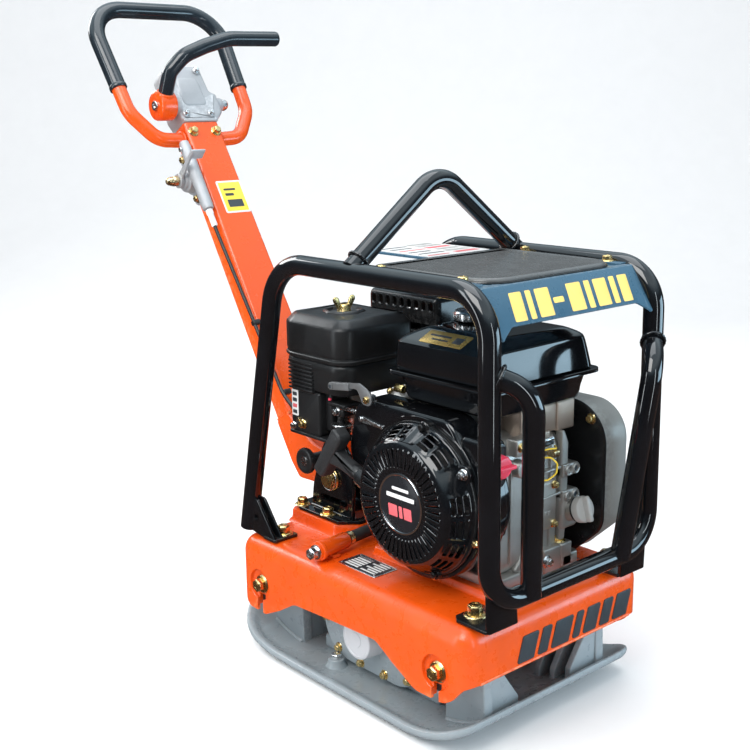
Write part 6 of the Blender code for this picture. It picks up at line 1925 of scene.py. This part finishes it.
def travel_hub():
    centre = (0, HUB_Y, HUB_Z)
    hub = turned([(-.0405, 0), (-.0405, .022), (-.041, .023), (-.0425, .0235), (-.064, .0235),
                  (-.0668, .0228), (-.0681, .0212), (-.0685, .0185), (-.0681, .012),
                  (-.0676, 0)], centre, "x", ORANGE, 64)
    cut(hub, rod(TRAVEL_START - TRAVEL_DIR * .0006, TRAVEL_START + TRAVEL_DIR * .05, .0122,
                 n=48))
    parts = [hub,
             capped((-.019, HUB_Y, HUB_Z), (-.042, HUB_Y, HUB_Z), .0055, MACHINED, .0006, 32),
             # collar round the bar
             turned([(.0234, .0121), (.0232, .0136), (.0222, .0146), (.017, .0152),
                     (.0118, .015), (.0118, .0121)], (-.0545, HUB_Y, HUB_Z), TRAVEL_DIR,
                    ORANGE, 48),
             # socket screw in the hub's end
             turned([(-.0678, 0), (-.0678, .0078), (-.07, .0078), (-.0712, .007),
                     (-.0712, .004), (-.069, .0038), (-.069, 0)], centre, "x", SILVER_ZINC, 36)]
    piece("travel_hub", "travel_control", parts, "lever_hub", 36, leaning=True)


def travel_bar():
    path = bent([TRAVEL_START, TRAVEL_START + TRAVEL_DIR * .047, (-.035, -.005, .705),
                 (0, -.018, .714), (.04, -.03, .721), (.125, -.04, .716)],
                [.02, .04, .06, .08], radians(3))
    parts = [tube(path, .0118, SLEEVE, 11),
             turned([(-.001, 0), (-.001, .0118), (.0016, .0114), (.0034, .0102), (.0048, .008),
                     (.0056, .005), (.0058, 0)], path[-1], (path[-1] - path[-2]).normalized(),
                    SLEEVE, 48)]
    piece("travel_bar", "travel_control", parts, "travel_lever", 50,
          leaning=True)


def throttle_body():
    ty, tz = THROTTLE_Y, THROTTLE_Z
    upper, lower = (.0865, .5725), (.087, .503)   # bolt ears
    outline = arcs([(upper, .011, 0, 180), ((ty, tz), .024, 120, 240),
                    (lower, .011, 180, 360), ((ty, tz), .024, -60, 60)], 10)
    parts = [board(outline, -.0346, -.04, "x", ALU_HEAD, .0004, .0014, 3),
             box(-.0468, -.0365, .056, .072, .508, .562, ALU_HEAD, .003, 4),
             turned([(.4692, 0), (.4692, .0074), (.4702, .0086), (.476, .0094), (.52, .0094),
                     (.58, .0086), (.588, .0078), (.5895, .0064), (.5898, 0)],
                    (-.047, .06, 0), "z", ALU_HEAD, 40),
             turned([(-.0392, 0), (-.0392, .0205), (-.041, .0195), (-.05, .019),
                     (-.0522, .0182), (-.0532, .0165), (-.054, .015), (-.0575, .0135),
                     (-.0586, .0125), (-.059, .011), (-.059, 0)], (0, ty, tz), "x",
                    ALU_HEAD, 56),
             capped((-.058, ty, tz), (-.078, ty, tz), .0042, SILVER_ZINC, .0006, 28)]
    for ear in (upper, lower):
        parts += bolt((-.0398, *ear), LEFT, .0095, .0052, .0072, turn=8, washer_t=.0012)
    parts += bolt((-.056, .06, .5765), LEFT, .007, .0035, mat=SILVER_ZINC, turn=8)
    piece("throttle_body", "handle", parts, "throttle_housing", 36,
          leaning=True)


def throttle_lever():
    """Hub ring, tapering arm and ridged thumb pad."""
    ty, tz = THROTTLE_Y, THROTTLE_Z
    along = Vector((0, .022 - ty, .553 - tz)).normalized()
    normal = Vector((0, -along.z, along.y))

    def point(a, b):
        return Vector((0, ty, tz)) + along * a + normal * b

    arm = [point(a, b).yz for a, b in (
        (.006, .0062), (.006, -.0062), (.054, -.0032), (.064, -.0034), (.064, .0034),
        (.054, .0032))]
    pad = [point(a, b).yz for a, b in (
        (.048, .002), (.048, -.002), (.066, -.002), (.066, .002))]
    parts = [turned([(-.0596, .0048), (-.0596, .0108), (-.0602, .0115), (-.0652, .0115),
                     (-.066, .0106), (-.066, .0048)], (0, ty, tz), "x", ALU_HEAD, 48),
             board(rounded(arm, [.001, .001, .02, .003, .003, .02], 5), -.0612, -.0652, "x",
                   ALU_HEAD, .001, n=3),
             board(rounded(pad, .0018, 4), -.0402, -.0656, "x", ALU_HEAD, .0012, n=3)]
    for k in range(6):
        v = point(.05 + .0026 * k, .0021)
        parts.append(capped((-.042, v.y, v.z), (-.064, v.y, v.z), .0007, ALU_HEAD, n=8))
    piece("throttle_thumb_lever", "throttle", parts, "throttle_lever", 38,
          leaning=True)


def throttle_nut():
    """Acorn nut."""
    parts = [*bolt((-.0664, THROTTLE_Y, THROTTLE_Z), LEFT, .015, .0098, mat=BRASS, turn=10,
                   dish=False),
             turned([(-.0755, 0), (-.0755, .0072), (-.079, .007), (-.083, .006),
                     (-.0857, .0042), (-.0868, .002), (-.087, 0)],
                    (0, THROTTLE_Y, THROTTLE_Z), "x", BRASS, 44)]
    piece("throttle_cap_nut", "handle", parts, "throttle_nut", 38, leaning=True)


def throttle_cable():
    """Cable down the column's left side with its ferrule and clips."""
    path = bent([(-.047, .06, .463), (-.0465, .061, .43), (-.044, .057, .273),
                 (-.048, .047, .15), (-.05, .018, .09)], [.05, .1, .08], radians(2))
    parts = [tube(path, .0028, PLASTIC, 6),
             turned([(.44, 0), (.44, .004), (.4412, .0048), (.46, .0048), (.461, .0056),
                     (.468, .0056), (.4686, .005), (.4686, 0)], (-.047, .06, 0), "z",
                    WHITE, 32)]
    for share in (.33, .66):
        p = path[int(len(path) * share)]
        parts.append(box(-.0472, -.0345, p.y - .0045, p.y + .0045, p.z - .004, p.z + .004,
                         PLASTIC, .0012, 3))
    piece("throttle_line", "handle", parts, "throttle_cable", 45,
          leaning=True)


# ================================================================ what stays from the CAD
CAD_FINISH = {
    MACHINED: ("eccentric_shaft_front", "eccentric_shaft_rear", "exciter_bearing_front_left",
               "exciter_bearing_front_right", "exciter_bearing_rear_left",
               "exciter_bearing_rear_right", "crankshaft", "connecting_rod"),
    IRON: ("exciter_pulley", "clutch_drum", "flywheel_fan"),
    ALU: ("piston",), PLASTIC: ("recoil_pulley",), FOAM: ("filter_element",)}


def carried_over():
    for mat, names in CAD_FINISH.items():
        for name in names:
            ob = frame["nodes"][name]
            if isinstance(ob, str):   # a node may be given as its object's name
                ob = bpy.data.objects[ob]
            if not ob.material_slots:
                ob.data.materials.append(mat)
            for slot in ob.material_slots:
                slot.material = mat


# ================================================================ studio
AHEAD = Vector((sin(VIEW_YAW), cos(VIEW_YAW), 0))     # level view direction
ACROSS = Vector((cos(VIEW_YAW), -sin(VIEW_YAW), 0))   # to the camera's right


def studio_floor():
    """Paper sweep: flat floor, quarter bend, upright back wall."""
    near, bend_start, bend_r, wall_top, half_width, n = -6, 2.6, 1.6, 6, 7, 24
    profile = [(near, 0)]
    for k in range(n + 1):
        t = radians(90 * k / n)
        profile.append((bend_start + bend_r * sin(t), bend_r - bend_r * cos(t)))
    profile.append((4.2, wall_top))
    bm = bmesh.new()
    rows = [[bm.verts.new(AHEAD * a + ACROSS * s * half_width + Vector((0, 0, h)))
             for s in SIDES] for a, h in profile]
    for p, q in zip(rows[:-1], rows[1:]):
        bm.faces.new((p[0], p[1], q[1], q[0]))
    paper = shader("studio_paper", base=(.9, .9, .905), rough=.75, var=.01,
                   grain=(30, .02, .001), spec=.2)
    floor = from_bm(bm, paper, "studio_floor")
    floor.data.shade_smooth()
    floor.visible_glossy = False


def world():
    """Pale room for diffuse light; mirror-like surfaces see a darker one."""
    room = bpy.data.worlds.new("soft_room")
    bpy.context.scene.world = room
    room.use_nodes = True
    nodes, links = room.node_tree.nodes, room.node_tree.links
    coords = nodes.new("ShaderNodeTexCoord")
    split = nodes.new("ShaderNodeSeparateXYZ")
    links.new(coords.outputs["Generated"], split.inputs[0])
    height = nodes.new("ShaderNodeMapRange")
    height.inputs[1].default_value, height.inputs[2].default_value = -1, 1
    links.new(split.outputs["Z"], height.inputs[0])

    def sky(background, stops, strength):
        """Colour a background by height with (position, colour) stops."""
        node = nodes.new("ShaderNodeValToRGB")
        links.new(height.outputs[0], node.inputs[0])
        elements = node.color_ramp.elements
        for element, (position, colour) in zip(elements, (stops[0], stops[-1])):
            element.position, element.color = position, (*colour, 1)
        for position, colour in stops[1:-1]:
            elements.new(position).color = (*colour, 1)
        links.new(node.outputs[0], background.inputs["Color"])
        background.inputs["Strength"].default_value = strength
        return background

    diffuse = sky(nodes["Background"], [(.35, (.62, .62, .62)), (.6, (.78, .8, .82)),
                                        (.95, (.95, .98, 1))], strength=.8)
    # warm below the horizon, bright and bluish overhead
    glossy = sky(nodes.new("ShaderNodeBackground"), [
        (0, (.1, .062, .046)), (.36, (.085, .052, .04)), (.44, (.035, .03, .03)),
        (.55, (.05, .055, .06)), (.66, (.1, .13, .15)), (.74, (.45, .6, .7)),
        (.82, (.95, 1.15, 1.25)), (1, (.85, 1.05, 1.2))], strength=1)
    rays = nodes.new("ShaderNodeLightPath")
    mixer = nodes.new("ShaderNodeMixShader")
    links.new(rays.outputs["Is Glossy Ray"], mixer.inputs[0])
    links.new(diffuse.outputs[0], mixer.inputs[1])
    links.new(glossy.outputs[0], mixer.inputs[2])
    links.new(mixer.outputs[0], nodes["World Output"].inputs["Surface"])


def area_light(name, at, size, power, colour, size_y=None, look=(0, .1, .4)):
    light = bpy.data.lights.new(name, "AREA")
    light.shape = "RECTANGLE"
    light.size = size
    light.size_y = size_y or size
    light.energy = power
    light.color = colour
    ob = bpy.data.objects.new(name, light)
    ob.location = Vector(at)
    ob.rotation_euler = (Vector(look) - Vector(at)).to_track_quat("-Z", "Y").to_euler()
    bpy.context.scene.collection.objects.link(ob)


def lights():
    def around(ahead, across, up):
        """A place measured from the machine's middle, as the camera sees it."""
        return Vector((0, .1, .4)) + AHEAD * ahead + ACROSS * across + Vector((0, 0, up))

    area_light("key", at=around(ahead=-1.6, across=-1.1, up=2), size=1.6, power=50,
               colour=(1, .985, .96))
    area_light("fill", at=(1.7, -1.95, .5), look=(0, -.2, .46), size=1.7, size_y=.86, power=28,
               colour=(.56, .82, 1))
    area_light("top", at=around(ahead=.2, across=0, up=2.8), size=2.4, power=44,
               colour=(.96, .98, 1))
    area_light("rim", at=around(ahead=1.6, across=-1.9, up=1.3), size=1.1, power=26,
               colour=(1, 1, 1))
    area_light("strip", at=around(ahead=-.9, across=-2.3, up=.5), size=.35, size_y=2, power=14,
               colour=(.9, .96, 1))
    area_light("strip2", at=around(ahead=-1.9, across=1.25, up=.25), size=.16, size_y=1.6,
               power=7, colour=(.85, .95, 1))


def camera():
    view = bpy.data.cameras.new("view")
    ob = bpy.data.objects.new("view", view)
    bpy.context.scene.collection.objects.link(ob)
    view.sensor_width = 36
    view.lens = 55.5332016
    view.clip_end = 50
    pitch, roll = radians(13.1476), radians(-.6862)   # pitch is downwards
    d = Vector((sin(VIEW_YAW) * cos(pitch), cos(VIEW_YAW) * cos(pitch), -sin(pitch)))
    up = ACROSS.cross(d)
    x = ACROSS * cos(roll) + up * sin(roll)
    y = up * cos(roll) - ACROSS * sin(roll)
    at = Vector((-1.0512, -1.0835, .7651))
    ob.matrix_world = Matrix(((x.x, y.x, -d.x, at.x), (x.y, y.y, -d.y, at.y),
                              (x.z, y.z, -d.z, at.z), (0, 0, 0, 1)))
    bpy.context.scene.camera = ob


# ================================================================ build
base_plate()
exciter_case()
exciter_cover("left", -1)
exciter_cover("right", 1)
for end, mount_y in zip(("front", "rear"), MOUNTS_Y):
    rubber_mount("rubber_mount_" + end + "_left", -1, mount_y)
    rubber_mount("rubber_mount_" + end + "_right", 1, mount_y)
drive_belt()
housing()
belt_guard()
belt_back_plate()
crankcase()
crankcase_cover()
cylinder_head()
shroud()
recoil_cover()
pull_grip()
starter_rope()
switch_knob()
tank()
fuel_cap()
cleaner_lid()
cleaner_case()
wing_nut()
carburettor()
linkage_housing()
speed_lever()
muffler()
muffler_shield()
oil_cap()
drain_line()
guard_frame()
top_cover()
stand()
pivot_pin()
lock_knob()
column()
handle_loop()
control_box()
travel_hub()
travel_bar()
throttle_body()
throttle_lever()
throttle_nut()
throttle_cable()
carried_over()
studio_floor()
world()
lights()
camera()
bpy.context.scene.view_settings.view_transform = "Standard"
